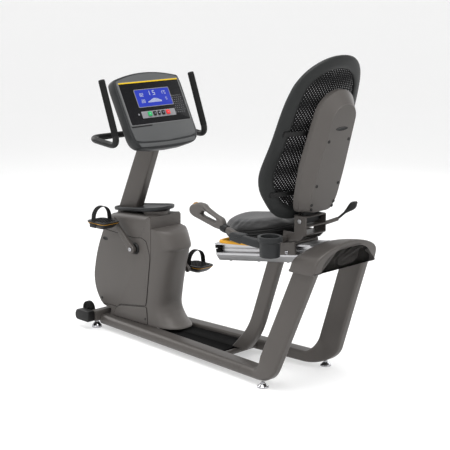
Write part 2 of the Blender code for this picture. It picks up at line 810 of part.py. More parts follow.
fly_profile = [
    (0.0, 0.0740), (0.0080, 0.0740), (0.0080, 0.0600), (PULLEY_SMALL_R, 0.0600), (PULLEY_SMALL_R, 0.0400),
    (0.0080, 0.0400), (0.0080, -0.0280), (0.0240, -0.0280), (0.0240, -0.0400), (0.0880, -0.0440),
    (0.0920, -0.0340), (FLY_R, -0.0340), (FLY_R, -0.0680), (0.0920, -0.0680), (0.0880, -0.0560),
    (0.0240, -0.0600), (0.0240, -0.0720), (0.0080, -0.0720), (0.0080, -0.0860), (0.0, -0.0860),
]
flywheel = turned(fly_profile, (FLY_C[0], 0.0, FLY_C[1]), "Y", 36)
finish(flywheel, "flywheel", "cast_iron")


def belt():
    """Poly-V belt around both pulleys."""
    cx, cz = CRANK_C
    fx, fz = FLY_C
    gap = math.hypot(fx - cx, fz - cz)
    heading = math.atan2(fz - cz, fx - cx)

    def loop(extra):
        r_big = PULLEY_R + extra
        r_small = PULLEY_SMALL_R + extra
        tilt = math.acos((r_big - r_small) / gap)
        out = []
        for k in range(21):
            a = heading + tilt + (2 * math.pi - 2 * tilt) * k / 20
            out.append((cx + r_big * math.cos(a), cz + r_big * math.sin(a)))
        for k in range(9):
            a = heading - tilt + 2 * tilt * k / 8
            out.append((fx + r_small * math.cos(a), fz + r_small * math.sin(a)))
        return out

    outer = loop(0.0009 + BELT_T)
    inner = loop(0.0009)
    return slab(outer, BELT_W, "XZ", BELT_Y, (inner,))


finish(belt(), "drive_belt", "rubber", False)


def brake():
    """Swinging bracket that carries the brake magnets over the rim of the flywheel."""
    arm = box((0.0900, 0.0060, 0.0200), (0.6800, -0.0780, 0.3480), Matrix.Rotation(math.radians(35), 3, "Y"))
    block = guide(box((0.0380, 0.0560, 0.0340), (0.6950, -0.0520, 0.3420), Matrix.Rotation(math.radians(35), 3, "Y")))
    slot = guide(box((0.0900, 0.0400, 0.0400), (0.6860, -0.0510, 0.3300), Matrix.Rotation(math.radians(35), 3, "Y")))
    boolean(arm, block, "UNION")
    boolean(arm, slot)
    return arm


BRAKE_C = (0.6480, -0.0780, 0.3700)
magnet = brake()
finish(magnet, "brake_magnet", "steel", False)
set_origin(magnet, BRAKE_C)


# ---------------------------------------------------------------- cranks and pedals
def crank_arm(side, angle):
    """Forged arm from the crank axle to the pedal, with the axle bolt covered."""
    ux, uz = math.cos(angle), math.sin(angle)
    cx, cz = CRANK_C
    nx, nz = -uz, ux
    rings = []
    for at, half, thick, out in ((-0.022, 0.009, 0.016, 0.0), (-0.016, 0.0165, 0.020, 0.0),
                                 (0.0, 0.0200, 0.022, 0.0), (0.030, 0.0175, 0.021, 0.0010),
                                 (0.140, 0.0135, 0.018, 0.0030), (CRANK_LENGTH, 0.0145, 0.018, 0.0035),
                                 (CRANK_LENGTH + 0.012, 0.0120, 0.016, 0.0035),
                                 (CRANK_LENGTH + 0.016, 0.0070, 0.012, 0.0035)):
        ring = []
        for u, v in rounded(2 * half, thick, (0.0045,) * 4, 2):
            ring.append((cx + ux * at + nx * u, side * (CRANK_Y + out + v), cz + uz * at + nz * u))
        rings.append(ring)
    obj = loft(rings)
    bore = guide(cylinder(0.0128, 0.0200, (cx, side * (0.1125 + 0.0038 - 0.0100), cz), "Y", 32))
    if side < 0:
        bore.location.y = -(0.1125 + 0.0038 - 0.0100)
    boolean(obj, bore)
    end_x = cx + ux * CRANK_LENGTH
    end_z = cz + uz * CRANK_LENGTH
    stub = guide(cylinder(0.0065, 0.105, (end_x, side * (CRANK_Y + 0.0605), end_z), "Y", 20))
    boolean(obj, stub, "UNION")
    return obj


def pedal_at(side, angle):
    x = CRANK_C[0] + CRANK_LENGTH * math.cos(angle)
    z = CRANK_C[1] + CRANK_LENGTH * math.sin(angle)
    return x, side * PEDAL_Y, z


def pedal(side, centre):
    """Platform pedal with a cupped underside, bored for the spindle."""
    rows = []
    for lift, length, width in ((-0.0230, 0.064, 0.064), (-0.0160, 0.086, 0.084), (0.0, 0.124, 0.100),
                                (0.0085, PEDAL_L, PEDAL_W), (0.0125, PEDAL_L - 0.006, PEDAL_W - 0.006)):
        ring = []
        for u, v in rounded(length, width, (min(length, width) * 0.22,) * 4, 4):
            ring.append((centre[0] + u, centre[1] + v, centre[2] + lift))
        rows.append(ring)
    obj = loft(rows)
    bore = guide(cylinder(0.0070, 0.140, (centre[0], centre[1] - side * 0.0100, centre[2]), "Y", 20))
    boolean(obj, bore)
    return obj


def strap(centre):
    """Foot strap arched over the pedal."""
    half = 0.0490
    outer = []
    inner = []
    for k in range(15):
        a = math.pi * k / 14
        outer.append((half * math.cos(a), 0.030 + 0.0520 * math.sin(a)))
        inner.append(((half - 0.0028) * math.cos(a), 0.030 + 0.0492 * math.sin(a)))
    base = 0.0129
    outline = [(half, base)] + outer + [(-half, base), (-half + 0.0028, base)]
    outline += list(reversed(inner)) + [(half - 0.0028, base)]
    obj = slab([(centre[1] + u, centre[2] + v) for u, v in outline], 0.030, "YZ", centre[0] + 0.012)
    return obj


for side, tag, angle in ((1, "left", CRANK_ANGLE), (-1, "right", CRANK_ANGLE + math.pi)):
    arm = crank_arm(side, angle)
    finish(arm, f"crank_arm_{tag}", "gunmetal", False)
    set_origin(arm, (CRANK_C[0], 0.0, CRANK_C[1]))
    centre = pedal_at(side, angle)
    block = pedal(side, centre)
    finish(block, f"pedal_{tag}", "black", False)
    set_origin(block, centre)
    band = strap(centre)
    finish(band, f"pedal_strap_{tag}", "rubber", False)
    set_origin(band, centre)


# ---------------------------------------------------------------- console
TILT = Matrix(((0.0, math.sin(FACE_TILT), -math.cos(FACE_TILT)),
               (-1.0, 0.0, 0.0),
               (0.0, math.cos(FACE_TILT), math.sin(FACE_TILT))))


def face_point(u, v, w=0.0):
    """World point for console face coordinates: u to the rider's right, v up the face, w out of it."""
    p = TILT @ Vector((u, v, w))
    return Vector((FACE_O[0] + p.x, p.y, FACE_O[1] + p.z))


def face_block(u, v, w, size, rounding=0.0, segments=2):
    return box(size, face_point(u, v, w), TILT, rounding, segments)


def console_body():
    """Moulded console housing: arched hood at the top, rolled chin below, closed back."""
    steps = 8
    front = []
    for k in range(steps + 1):
        t = -1 + 2 * k / steps
        front.append((0.2020 * t, 0.2570 - 0.0290 * t * t))
    front += [(0.2080, 0.1900), (0.2060, 0.0300), (0.2060, -0.0560), (0.1960, -0.0920), (0.1700, -0.1130),
              (0.0850, -0.1250), (0.0, -0.1280)]
    left = [(-u, v) for u, v in reversed(front[steps + 1:-1])]
    outline = front + left
    rings = []
    for depth, grow, shift in ((0.0, 0.985, 0.0), (-0.006, 1.0, 0.0), (-0.040, 0.985, 0.0), (-0.075, 0.86, 0.006),
                               (-0.088, 0.70, 0.010)):
        ring = []
        for u, v in outline:
            ring.append(face_point(u * grow, 0.060 + (v - 0.060) * grow + shift, depth))
        rings.append(ring)
    obj = loft(rings)
    boolean(obj, mast_pocket)
    return obj


mast_pocket = guide(loft([mast_ring(0.8000, 0.001), mast_ring(MAST_TOP + 0.001, 0.001)]))
finish(console_body(), "console_housing", "dark_grey", False)

panel = face_block(0.0, PANEL_H / 2, 0.0024, (2 * PANEL_HALF, PANEL_H, 0.0042), 0.0010, 1)
finish(panel, "console_panel", "glass", False)
display = face_block(0.0, 0.1180, 0.0058, (0.2160, 0.0850, 0.0020), 0.0006, 1)
finish(display, "console_display", "screen", False)
KEYS = (("key_start", -0.0575, "green"), ("key_down", -0.0270, "black"), ("key_enter", -0.0005, "black"),
        ("key_up", 0.0260, "black"), ("key_stop", 0.0565, "red"))
for name, u, colour in KEYS:
    key = face_block(u, 0.0455, 0.0078, (0.0190, 0.0200, 0.0030), 0.0008, 1)
    finish(key, name, colour, False)

bar_left = [(0.4560, 0.2800, 1.2520), (0.3470, 0.2800, 0.9560), (0.5480, 0.2800, 0.9760)]
bar_points = bar_left + [(x, -y, z) for x, y, z in reversed(bar_left)]
bar = tube(fillet(bar_points, (0.045, 0.040, 0.040, 0.045), 6), 0.0155, 3)
finish(bar, "console_handlebar", "black")


# ---------------------------------------------------------------- seat on its rail
def carriage():
    """Saddle of two side plates and a bridge that rides on the seat rail."""
    s_front = 0.345
    s_rear = 0.500
    half = [(0.0780, 0.0120), (0.0780, -0.0440), (0.0660, -0.0440), (0.0660, 0.0010), (0.0, 0.0010)]
    outline = half + [(-y, n) for y, n in reversed(half[:-1])]
    rings = []
    for s in (s_front, s_rear):
        ring = []
        for y, n in outline:
            x, z = slide_point(s, n)
            ring.append((x, y, z))
        rings.append(ring)
    obj = loft(rings)
    bevel(obj, 0.002, 1, 50)
    foot_z = SLIDE_FRONT[1] + 0.0100
    tan = math.tan(SLIDE_TILT)
    riser = [(-0.4010, foot_z + (SLIDE_FRONT[0] + 0.4010) * tan), (-0.4450, foot_z + (SLIDE_FRONT[0] + 0.4450) * tan),
             (-0.4450, pan_z(-0.4450) - GAP), (-0.4010, pan_z(-0.4010) - GAP)]
    boolean(obj, guide(slab(riser, 0.1000, "XZ", 0.0)), "UNION")
    return obj


def pan_z(x):
    """Underside of the seat pan, parallel to the seat rail."""
    return PAN_Z + math.tan(SLIDE_TILT) * (-0.300 - x)


finish(carriage(), "seat_carriage", "gunmetal", False)

SEAT_OUTLINE = []
for k in range(32):
    a = 2 * math.pi * k / 32
    reach = 0.192 if math.cos(a) > 0 else 0.168
    x = -0.300 + reach * math.copysign(abs(math.cos(a)) ** 0.80, math.cos(a))
    broad = 0.190 - 0.085 * smoothstep((x + 0.330) / 0.230)
    SEAT_OUTLINE.append((x, broad * math.copysign(abs(math.sin(a)) ** 0.72, math.sin(a))))


def seat_layer(levels):
    """Stack of scaled seat outlines; each level is (height, scale)."""
    rings = []
    for z, grow in levels:
        ring = []
        for x, y in SEAT_OUTLINE:
            ring.append((-0.300 + (x + 0.300) * grow, y * grow, z - math.tan(SLIDE_TILT) * (x + 0.300) * grow))
        rings.append(ring)
    return loft(rings)


pan = seat_layer([(PAN_Z, 0.86), (0.6200, 0.975), (0.6450, 1.0)])
finish(pan, "seat_pan", "black")
cushion = seat_layer([(0.6453, 0.985), (0.6580, 1.0), (0.6760, 0.975), (0.6890, 0.90), (0.6960, 0.74), (0.6980, 0.50)])
finish(cushion, "seat_cushion", "cushion")

seat_bar_left = [(-0.2500, 0.2360, 0.6830), (-0.4150, 0.2360, 0.6390), (-0.4900, 0.1900, 0.6315)]
seat_bar_points = seat_bar_left + [(x, -y, z) for x, y, z in reversed(seat_bar_left)]
seat_bar = tube(fillet(seat_bar_points, (0.060, 0.035, 0.035, 0.060), 4), 0.0140, 2)
finish(seat_bar, "seat_handlebar", "gunmetal")


def hand_grip(side):
    """Side grip: two bars around a slot, with a control pod at the front."""
    outer = [
        (-0.2890, 0.6640), (-0.2500, 0.6650), (-0.1080, 0.6990), (-0.0880, 0.7110), (-0.0850, 0.7330),
        (-0.0980, 0.7480), (-0.1340, 0.7620), (-0.1740, 0.7600), (-0.1920, 0.7450), (-0.2440, 0.7230),
        (-0.2830, 0.7120), (-0.2950, 0.6900),
    ]
    hole = [(-0.2350, 0.6930), (-0.1650, 0.7080), (-0.1560, 0.7150), (-0.1700, 0.7270), (-0.1900, 0.7270), (-0.2400, 0.7080)]
    obj = slab(outer, 0.0320, "XZ", side * 0.2360, (hole,))
    bevel(obj, 0.0060, 2, 40)
    bar_bore = guide(tube([(-0.2480, side * 0.2360, 0.68353), (-0.4150, side * 0.2360, 0.6390)], 0.0146, 2))
    boolean(obj, bar_bore)
    return obj


for side, tag in ((1, "left"), (-1, "right")):
    finish(hand_grip(side), f"hand_grip_{tag}", "gunmetal", False)
    button = cylinder(0.0075, 0.0040, (-0.1150, side * 0.2360, 0.7582), "Z", 24)
    button.rotation_euler = (0.0, math.radians(21), 0.0)
    finish(button, f"grip_button_{tag}", "amber")


def cup_holder():
    """Cup holder on an arm that clips over the left handlebar."""
    cx, cy = -0.5560, 0.2360
    profile = [
        (0.0400, 0.0850), (0.0520, 0.0850), (0.0520, 0.0670), (0.0440, 0.0600), (0.0430, 0.0),
        (0.0, 0.0), (0.0, 0.0040), (0.0390, 0.0040), (0.0400, 0.0850),
    ]
    cup = turned(profile, (cx, cy, 0.5920), "Z", 32)
    arm = guide(box((0.1860, 0.0300, 0.0340), (-0.4500, cy + 0.0120, 0.6420), Matrix.Rotation(math.radians(-5), 3, "Y"), 0.004))
    boolean(cup, arm, "UNION")
    well = guide(cylinder(0.0400, 0.1200, (cx, cy, 0.6560), "Z", 32))
    boolean(cup, well)
    relief_path = fillet(seat_bar_points, (0.060, 0.035, 0.035, 0.060), 4)
    relief = guide(tube(relief_path, 0.0147, 2))
    boolean(cup, relief)
    grip_relief = guide(box((0.0500, 0.0800, 0.0600), (-0.3220, cy, 0.6640)))
    boolean(cup, grip_relief)
    return cup


finish(cup_holder(), "cup_holder", "dark_grey", False)

bar_pts = [(-0.3600, 0.0960, 0.6020), (-0.3300, 0.0960, 0.5830), (-0.1100, 0.0960, 0.5615)]
adjust_points = bar_pts + [(x, -y, z) for x, y, z in reversed(bar_pts)]
adjust = tube(fillet(adjust_points, (0.012, 0.030, 0.030, 0.012), 5), 0.0080, 2)
finish(adjust, "adjust_bar", "amber")
set_origin(adjust, (-0.3600, 0.0, 0.6020))


def bracket():
    """Open box behind the seat that holds the recline pivot, on two gussets from the carriage."""
    outer = box((0.0680, 0.1320, 0.0830), (-0.5690, 0.0, 0.6985), None, 0.003, 1)
    gusset_outline = [
        (-0.5980, 0.6620), (-0.4750, 0.6620), (-0.4750, 0.6152), (-0.5480, 0.6262), (-0.5700, 0.6330),
    ]
    for y in (-0.0610, 0.0610):
        boolean(outer, guide(slab(gusset_outline, 0.0100, "XZ", y)), "UNION")
    boolean(outer, guide(box((0.1200, 0.1220, 0.0300), (-0.5690, 0.0, 0.6780))))
    boolean(outer, guide(box((0.1200, 0.1220, 0.0360), (-0.5690, 0.0, 0.7170))))
    boolean(outer, guide(box((0.0440, 0.1000, 0.0300), (-0.5650, 0.0, 0.7400))))
    boolean(outer, guide(cylinder(0.0064, 0.2000, (RECLINE_C[0], 0.0, RECLINE_C[1]), "Y", 20)))
    bar_hole = guide(cylinder(0.0144, 0.2000, (-0.4900, 0.0, 0.6315), "Y", 24))
    boolean(outer, bar_hole)
    return outer


finish(bracket(), "back_bracket", "gunmetal", False)


def lever():
    """Recline lever on the right: bent rod with a drop-shaped knob."""
    path = fillet([(-0.5900, -0.0670, 0.6920), (-0.5900, -0.1550, 0.6980), (-0.5980, -0.2000, 0.7240)], (0.020,), 5)
    rod = tube(path, 0.0055, 2)
    heading = Vector((-0.0080, -0.0450, 0.0260)).normalized()
    base = Vector((-0.5980, -0.2000, 0.7240))
    side_axis = Vector((1.0, 0.0, 0.0))
    up_axis = heading.cross(side_axis).normalized()
    rings = []
    for at, radius in ((-0.004, 0.0080), (0.010, 0.0095), (0.030, 0.0135), (0.050, 0.0175), (0.064, 0.0165), (0.072, 0.0100)):
        ring = []
        for k in range(16):
            a = 2 * math.pi * k / 16
            offset = side_axis * (math.cos(a) * radius) + up_axis * (math.sin(a) * radius * 0.85)
            ring.append(base + heading * at + offset)
        rings.append(ring)
    knob = guide(loft(rings))
    boolean(rod, knob, "UNION")
    return rod


handle = lever()
finish(handle, "recline_lever", "black", False)
set_origin(handle, (-0.5900, -0.0670, 0.6920))


# ---------------------------------------------------------------- backrest
def back_x(z, y=0.0):
    """Rear surface of the backrest: leaning, bowed forward at the lumbar, its sides wrapped forward."""
    lean = BACK_TOP[0] - BACK_LEAN * (z - BACK_TOP[1])
    lumbar = 0.035 * math.exp(-((z - 0.900) / 0.130) ** 2)
    wrap = 0.048 * (abs(y) / 0.22) ** 2.0
    return lean + lumbar + wrap


BACK_HALF = (
    (0.7230, 0.090), (0.7350, 0.128), (0.7600, 0.160), (0.8000, 0.188), (0.8500, 0.214), (0.9100, 0.229), (0.9700, 0.233),
    (1.0600, 0.233), (1.1500, 0.229), (1.2200, 0.221), (1.2700, 0.210), (1.3100, 0.196), (1.3500, 0.168),
    (1.3800, 0.132), (1.4020, 0.088), (1.4140, 0.042),
)


def back_loop(inset):
    """Closed outline of the backrest in (y, z), drawn in by a distance."""
    right = list(BACK_HALF)
    pts = [(0.0, 0.7200)] + [(w, z) for z, w in right] + [(0.0, BACK_TOP[1])]
    pts += [(-w, z) for z, w in reversed(right)]
    if not inset:
        return pts
    out = []
    count = len(pts)
    for i in range(count):
        ax, az = pts[i - 1]
        bx, bz = pts[(i + 1) % count]
        tx, tz = bx - ax, bz - az
        size = math.hypot(tx, tz)
        out.append((pts[i][0] - inset * tz / size, pts[i][1] + inset * tx / size))
    return out


def back_ring():
    """Wide moulded frame of the backrest around its mesh."""
    outer = back_loop(0.0)
    near = back_loop(0.006)
    mid = back_loop(0.036)
    inner = []
    for y, z in back_loop(0.055):
        inner.append((y, z))
    count = len(outer)
    rows = [
        (near, 0.0000), (mid, -0.0020), (inner, 0.0040), (inner, 0.0120), (near, 0.0260), (outer, 0.0180), (outer, 0.0080),
    ]
    verts = []
    for loop, depth in rows:
        for y, z in loop:
            verts.append((back_x(z, y) + depth, y, z))
    faces = []
    total = len(rows)
    for i in range(total):
        nxt = (i + 1) % total
        for j in range(count):
            k = (j + 1) % count
            faces.append((i * count + j, i * count + k, nxt * count + k, nxt * count + j))
    return mesh_object("ring", verts, faces)


def back_mesh():
    """Mesh panel stretched in the opening of the backrest frame."""
    loops = [back_loop(0.0556)]
    cy, cz = 0.0, 1.055
    base = loops[0]
    rows = []
    for grow in (1.0, 0.72, 0.40):
        rows.append([(cy + (y - cy) * grow, cz + (z - cz) * grow) for y, z in base])
    count = len(base)
    verts = []
    for offset in (0.0060, 0.0100):
        for row in rows:
            for y, z in row:
                verts.append((back_x(z, y) + offset, y, z))
        verts.append((back_x(cz, 0.0) + offset, cy, cz))
    layer = 3 * count + 1
    faces = []
    for level in range(2):
        start = level * layer
        for i in range(2):
            for j in range(count):
                k = (j + 1) % count
                faces.append((start + i * count + j, start + i * count + k,
                              start + (i + 1) * count + k, start + (i + 1) * count + j))
        for j in range(count):
            k = (j + 1) % count
            faces.append((start + 2 * count + j, start + 2 * count + k, start + 3 * count))
    for j in range(count):
        k = (j + 1) % count
        faces.append((j, k, layer + k, layer + j))
    return mesh_object("panel", verts, faces)


def back_plane(z):
    """Straight lean line of the backrest post."""
    return BACK_TOP[0] - BACK_LEAN * (z - BACK_TOP[1])


def back_cover():
    """Hollow rear cover of the backrest post: wide against the mesh, narrower at its raised panel."""
    def outline(top, half_top, half_mid, bottom, half_bottom):
        pts = []
        steps = 10
        for k in range(steps + 1):
            a = math.pi * k / steps
            pts.append((half_top * math.cos(a), top - half_top * 0.95 + half_top * 0.95 * math.sin(a)))
        pts += [(-half_mid, (top + bottom) / 2 - 0.05), (-half_bottom, bottom + 0.055), (-half_bottom * 0.78, bottom)]
        pts += [(half_bottom * 0.78, bottom), (half_bottom, bottom + 0.055), (half_mid, (top + bottom) / 2 - 0.05)]
        return pts

    layers = (
        (-0.0060, outline(1.278, 0.108, 0.124, 0.7540, 0.105)),
        (-0.0340, outline(1.276, 0.110, 0.125, 0.7540, 0.106)),
        (-0.0800, outline(1.222, 0.076, 0.086, 0.7580, 0.086)),
        (-0.0845, outline(1.216, 0.070, 0.080, 0.7600, 0.080)),
    )
    verts = []
    for depth, loop in layers:
        for y, z in loop:
            verts.append((back_plane(z) + depth, y, z))
    count = len(layers[0][1])
    faces = []
    for i in range(len(layers) - 1):
        for j in range(count):
            k = (j + 1) % count
            faces.append((i * count + j, i * count + k, (i + 1) * count + k, (i + 1) * count + j))
    last = (len(layers) - 1) * count
    faces.append(tuple(last + j for j in range(count)))
    obj = mesh_object("cover", verts, faces)
    if obj.data.polygons[len(faces) - 1].normal.x > 0:
        obj.data.flip_normals()
    wall = obj.modifiers.new("wall", "SOLIDIFY")
    wall.thickness = 0.0030
    wall.offset = -1.0
    boolean(obj, guide(box((0.0560, 0.0980, 0.0400), (-0.5660, 0.0, 0.7560))))
    return obj


def back_frame():
    """Backrest post with its pivot tongue, and two straps that carry the moulded frame."""
    rings = []
    for z, depth, thick, half in ((0.7450, -0.0250, 0.0200, 0.0460), (0.7700, -0.0260, 0.0240, 0.0300),
                                  (1.1800, -0.0260, 0.0240, 0.0300)):
        ring = []
        for u, v in rounded(thick, 2 * half, (0.004,) * 4, 2):
            ring.append((back_plane(z) + depth + u, v, z))
        rings.append(ring)
    post_obj = loft(rings)
    tongue = guide(box((0.0240, 0.0920, 0.0520), (RECLINE_C[0], 0.0, RECLINE_C[1] + 0.0145), None, 0.004, 2))
    boolean(post_obj, tongue, "UNION")
    pin = guide(cylinder(0.0060, 0.1300, (RECLINE_C[0], 0.0, RECLINE_C[1]), "Y", 20))
    boolean(post_obj, pin, "UNION")
    for level in (0.8350, 1.1000):
        verts = []
        steps = 10
        half = strap_half(level)
        for k in range(steps + 1):
            y = -half + 2 * half * k / steps
            for dz, dx in ((-0.010, -0.0080), (0.010, -0.0080), (0.010, -0.0030), (-0.010, -0.0030)):
                verts.append((back_x(level + dz, y) + dx, y, level + dz))
        strip = loft([verts[4 * k:4 * k + 4] for k in range(steps + 1)])
        boolean(post_obj, guide(strip), "UNION")
        near = back_x(level, 0.0) - 0.0030
        far = back_plane(level) - 0.0200
        spacer = guide(box((near - far, 0.0400, 0.0160), ((near + far) / 2, 0.0, level)))
        boolean(post_obj, spacer, "UNION")
    return post_obj


def strap_half(level):
    """Half length of a strap, so that its ends lie behind the side of the moulded frame."""
    below = max(row for row in BACK_HALF if row[0] <= level)
    above = min(row for row in BACK_HALF if row[0] > level)
    part = (level - below[0]) / (above[0] - below[0])
    return below[1] + (above[1] - below[1]) * part - 0.022


for build, name, finish_key, smooth in ((back_frame, "back_frame", "steel", False),
                                        (back_ring, "back_shell", "dark_grey", True),
                                        (back_mesh, "back_mesh", "mesh", True),
                                        (back_cover, "back_cover", "gunmetal", False)):
    piece = build()
    finish(piece, name, finish_key, smooth)
    set_origin(piece, (RECLINE_C[0], 0.0, RECLINE_C[1]))

for obj in parts.objects:
    settle(obj)
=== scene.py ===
# %% [markdown]
# # A recumbent exercise bike
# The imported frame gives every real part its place: rails, legs, housing, console, seat and backrest.
# This lesson loads it, makes the finishes, and then builds the finer outer surfaces around it.
# Everything is in metres, +X points forward, +Y to the rider's left, +Z up.

# %% Load the frame
import json
import math

import bmesh
import bpy
import numpy as np
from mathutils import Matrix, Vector


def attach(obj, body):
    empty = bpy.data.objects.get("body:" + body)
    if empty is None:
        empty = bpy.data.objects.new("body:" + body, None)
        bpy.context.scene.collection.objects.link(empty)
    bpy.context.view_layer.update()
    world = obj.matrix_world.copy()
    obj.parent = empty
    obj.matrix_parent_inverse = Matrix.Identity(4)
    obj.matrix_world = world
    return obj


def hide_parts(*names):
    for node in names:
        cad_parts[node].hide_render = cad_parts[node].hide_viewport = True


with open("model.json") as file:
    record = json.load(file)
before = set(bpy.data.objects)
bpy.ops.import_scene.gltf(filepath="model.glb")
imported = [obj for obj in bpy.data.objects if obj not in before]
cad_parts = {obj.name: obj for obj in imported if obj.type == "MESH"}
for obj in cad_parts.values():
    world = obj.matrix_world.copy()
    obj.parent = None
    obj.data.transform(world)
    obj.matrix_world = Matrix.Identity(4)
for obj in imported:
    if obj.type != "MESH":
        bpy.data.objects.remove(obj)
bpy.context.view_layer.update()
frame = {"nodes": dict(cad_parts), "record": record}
nodes = frame["nodes"]
home = {n: b for b, members in frame["record"]["behaviour"]["bodies"].items() for n in members}
slot_of = {row["node"]: row["material_slot"] for row in frame["record"]["subparts"]}

# %% [markdown]
# ## The room
# A product stands on a pale sweep of paper under big soft lamps. Area lamps give wide soft edges. The paper
# itself is made further down.

# %% Camera, lamps and world light
EYE = Vector((-3.9996, 3.9561, 1.8154))
HEADING = math.radians(-45.116)
DIP = math.radians(-12.147)
look = Vector((math.cos(HEADING) * math.cos(DIP), math.sin(HEADING) * math.cos(DIP), math.sin(DIP)))
lens = bpy.data.cameras.new("camera")
lens.lens = 100.82
lens.sensor_width = 36.0
lens.clip_end = 60.0
camera = bpy.data.objects.new("camera", lens)
camera.location = EYE
camera.rotation_euler = look.to_track_quat("-Z", "Y").to_euler()
bpy.context.scene.collection.objects.link(camera)
bpy.context.scene.camera = camera
bpy.context.scene.view_settings.view_transform = "Standard"


def lamp(name, place, aim, size, watts, tint=(1.0, 1.0, 1.0)):
    """Square soft lamp at a place, turned towards a point."""
    data = bpy.data.lights.new(name, "AREA")
    data.shape = "SQUARE"
    data.size = size
    data.energy = watts
    data.color = tint
    obj = bpy.data.objects.new(name, data)
    obj.location = place
    obj.rotation_euler = (Vector(aim) - Vector(place)).to_track_quat("-Z", "Y").to_euler()
    bpy.context.scene.collection.objects.link(obj)
    return obj


MIDDLE = (0.0, 0.0, 0.6)
lamp("top_lamp", (-0.6, 0.8, 4.2), MIDDLE, 3.2, 165)
lamp("left_lamp", (-0.6, 4.6, 2.2), MIDDLE, 2.6, 46)
lamp("rear_lamp", (-4.6, -0.6, 2.0), MIDDLE, 2.4, 30)
lamp("front_lamp", (3.8, 0.6, 2.6), MIDDLE, 2.6, 62)
lamp("right_lamp", (0.4, -4.4, 2.2), MIDDLE, 2.6, 44)
world = bpy.data.worlds.new("studio")
bpy.context.scene.world = world
world.use_nodes = True
world.node_tree.nodes["Background"].inputs["Color"].default_value = (1.0, 1.0, 1.0, 1.0)
world.node_tree.nodes["Background"].inputs["Strength"].default_value = 0.45

# %% [markdown]
# ## Shader sums in Python
# A material is a graph of nodes. Drawing it by hand takes a hundred clicks, so a small class wraps a socket
# and lets Python's + - * / make the Math nodes. Each finish below then reads like its formula.


# %% A wrapped socket
class Wire:
    """A socket of a material's graph that can be used in sums."""

    def __init__(self, graph, socket):
        self.graph = graph
        self.socket = socket

    def _sum(self, operation, first, second):
        return self.graph.node("ShaderNodeMath", {"operation": operation}, {0: first, 1: second})

    def __add__(self, other):
        return self._sum("ADD", self, other)

    def __radd__(self, other):
        return self._sum("ADD", other, self)

    def __sub__(self, other):
        return self._sum("SUBTRACT", self, other)

    def __rsub__(self, other):
        return self._sum("SUBTRACT", other, self)

    def __mul__(self, other):
        return self._sum("MULTIPLY", self, other)

    def __rmul__(self, other):
        return self._sum("MULTIPLY", other, self)

    def __gt__(self, other):
        return self._sum("GREATER_THAN", self, other)


class Graph:
    """A material and its Principled shader, with one method that adds any node."""

    def __init__(self, name, roughness=0.5, metallic=0.0, **fixed):
        self.material = bpy.data.materials.new(name)
        self.material.use_nodes = True
        self.tree = self.material.node_tree
        self.shader = self.tree.nodes["Principled BSDF"]
        self.shader.inputs["Roughness"].default_value = roughness
        self.shader.inputs["Metallic"].default_value = metallic
        for key, value in fixed.items():
            self.shader.inputs[key.replace("_", " ")].default_value = value

    def node(self, kind, settings=None, inputs=None, output=0):
        """Adds a node: its settings first, then each socket's value or link."""
        made = self.tree.nodes.new(kind)
        for key, value in (settings or {}).items():
            if key == "stops":
                ramp = made.color_ramp
                ramp.elements[0].position, ramp.elements[0].color = value[0]
                ramp.elements[1].position, ramp.elements[1].color = value[-1]
                for at, colour in value[1:-1]:
                    ramp.elements.new(at).color = colour
            else:
                setattr(made, key, value)
        for key, value in (inputs or {}).items():
            if isinstance(value, Wire):
                self.tree.links.new(value.socket, made.inputs[key])
            else:
                made.inputs[key].default_value = value
        return Wire(self, made.outputs[output])

    def place(self, stretch=(1.0, 1.0, 1.0), source="Object"):
        """Position on the piece, in metres, stretched for grain that runs one way."""
        at = self.node("ShaderNodeTexCoord", output=source)
        return self.node("ShaderNodeMapping", None, {"Vector": at, "Scale": stretch})

    def noise(self, scale, detail=2.0, stretch=(1.0, 1.0, 1.0), roughness=0.5):
        return self.node("ShaderNodeTexNoise", None, {"Vector": self.place(stretch), "Scale": scale,
                                                      "Detail": detail, "Roughness": roughness})

    def mix(self, share, low, high):
        """Colour that goes from low to high as share goes from 0 to 1."""
        made = self.tree.nodes.new("ShaderNodeMix")
        made.data_type = "RGBA"
        self._feed(share, made.inputs[0])
        self._feed(low, made.inputs[6])
        self._feed(high, made.inputs[7])
        return Wire(self, made.outputs[2])

    def _feed(self, value, socket):
        if isinstance(value, Wire):
            self.tree.links.new(value.socket, socket)
        else:
            socket.default_value = value

    def set(self, name, wire):
        self.tree.links.new(wire.socket, self.shader.inputs[name])

    def bump(self, height, strength, distance):
        self.set("Normal", self.node("ShaderNodeBump", None, {"Height": height, "Strength": strength,
                                                              "Distance": distance}))


def rgb(red, green, blue):
    return (red, green, blue, 1.0)


# %% [markdown]
# ## Painted metal and moulded plastic
# Powder coat has a faint orange peel and a slow drift of tone; moulded plastic has a fine spark-eroded grain.
# Both are the same recipe: a slow noise for tone, and a fine one for the bump and the sheen.


# %% Coated and moulded finishes
def grained(name, colour, roughness, metallic=0.0, grain=900.0, depth=0.10, drift=0.08, coat=0.0, shine=0.30):
    """Colour = base times (1 +- drift by slow noise); roughness and bump follow a fine noise."""
    g = Graph(name, roughness, metallic, Coat_Weight=coat, Coat_Roughness=0.2, Specular_IOR_Level=shine)
    slow = g.noise(7.0, 3.0)
    dark = rgb(*(c * (1 - drift) for c in colour))
    light = rgb(*(c * (1 + drift) for c in colour))
    g.set("Base Color", g.mix(slow, dark, light))
    fine = g.noise(grain, 2.0)
    g.set("Roughness", roughness - 0.05 + 0.10 * fine)
    g.bump(fine, depth, 0.0004)
    return g.material


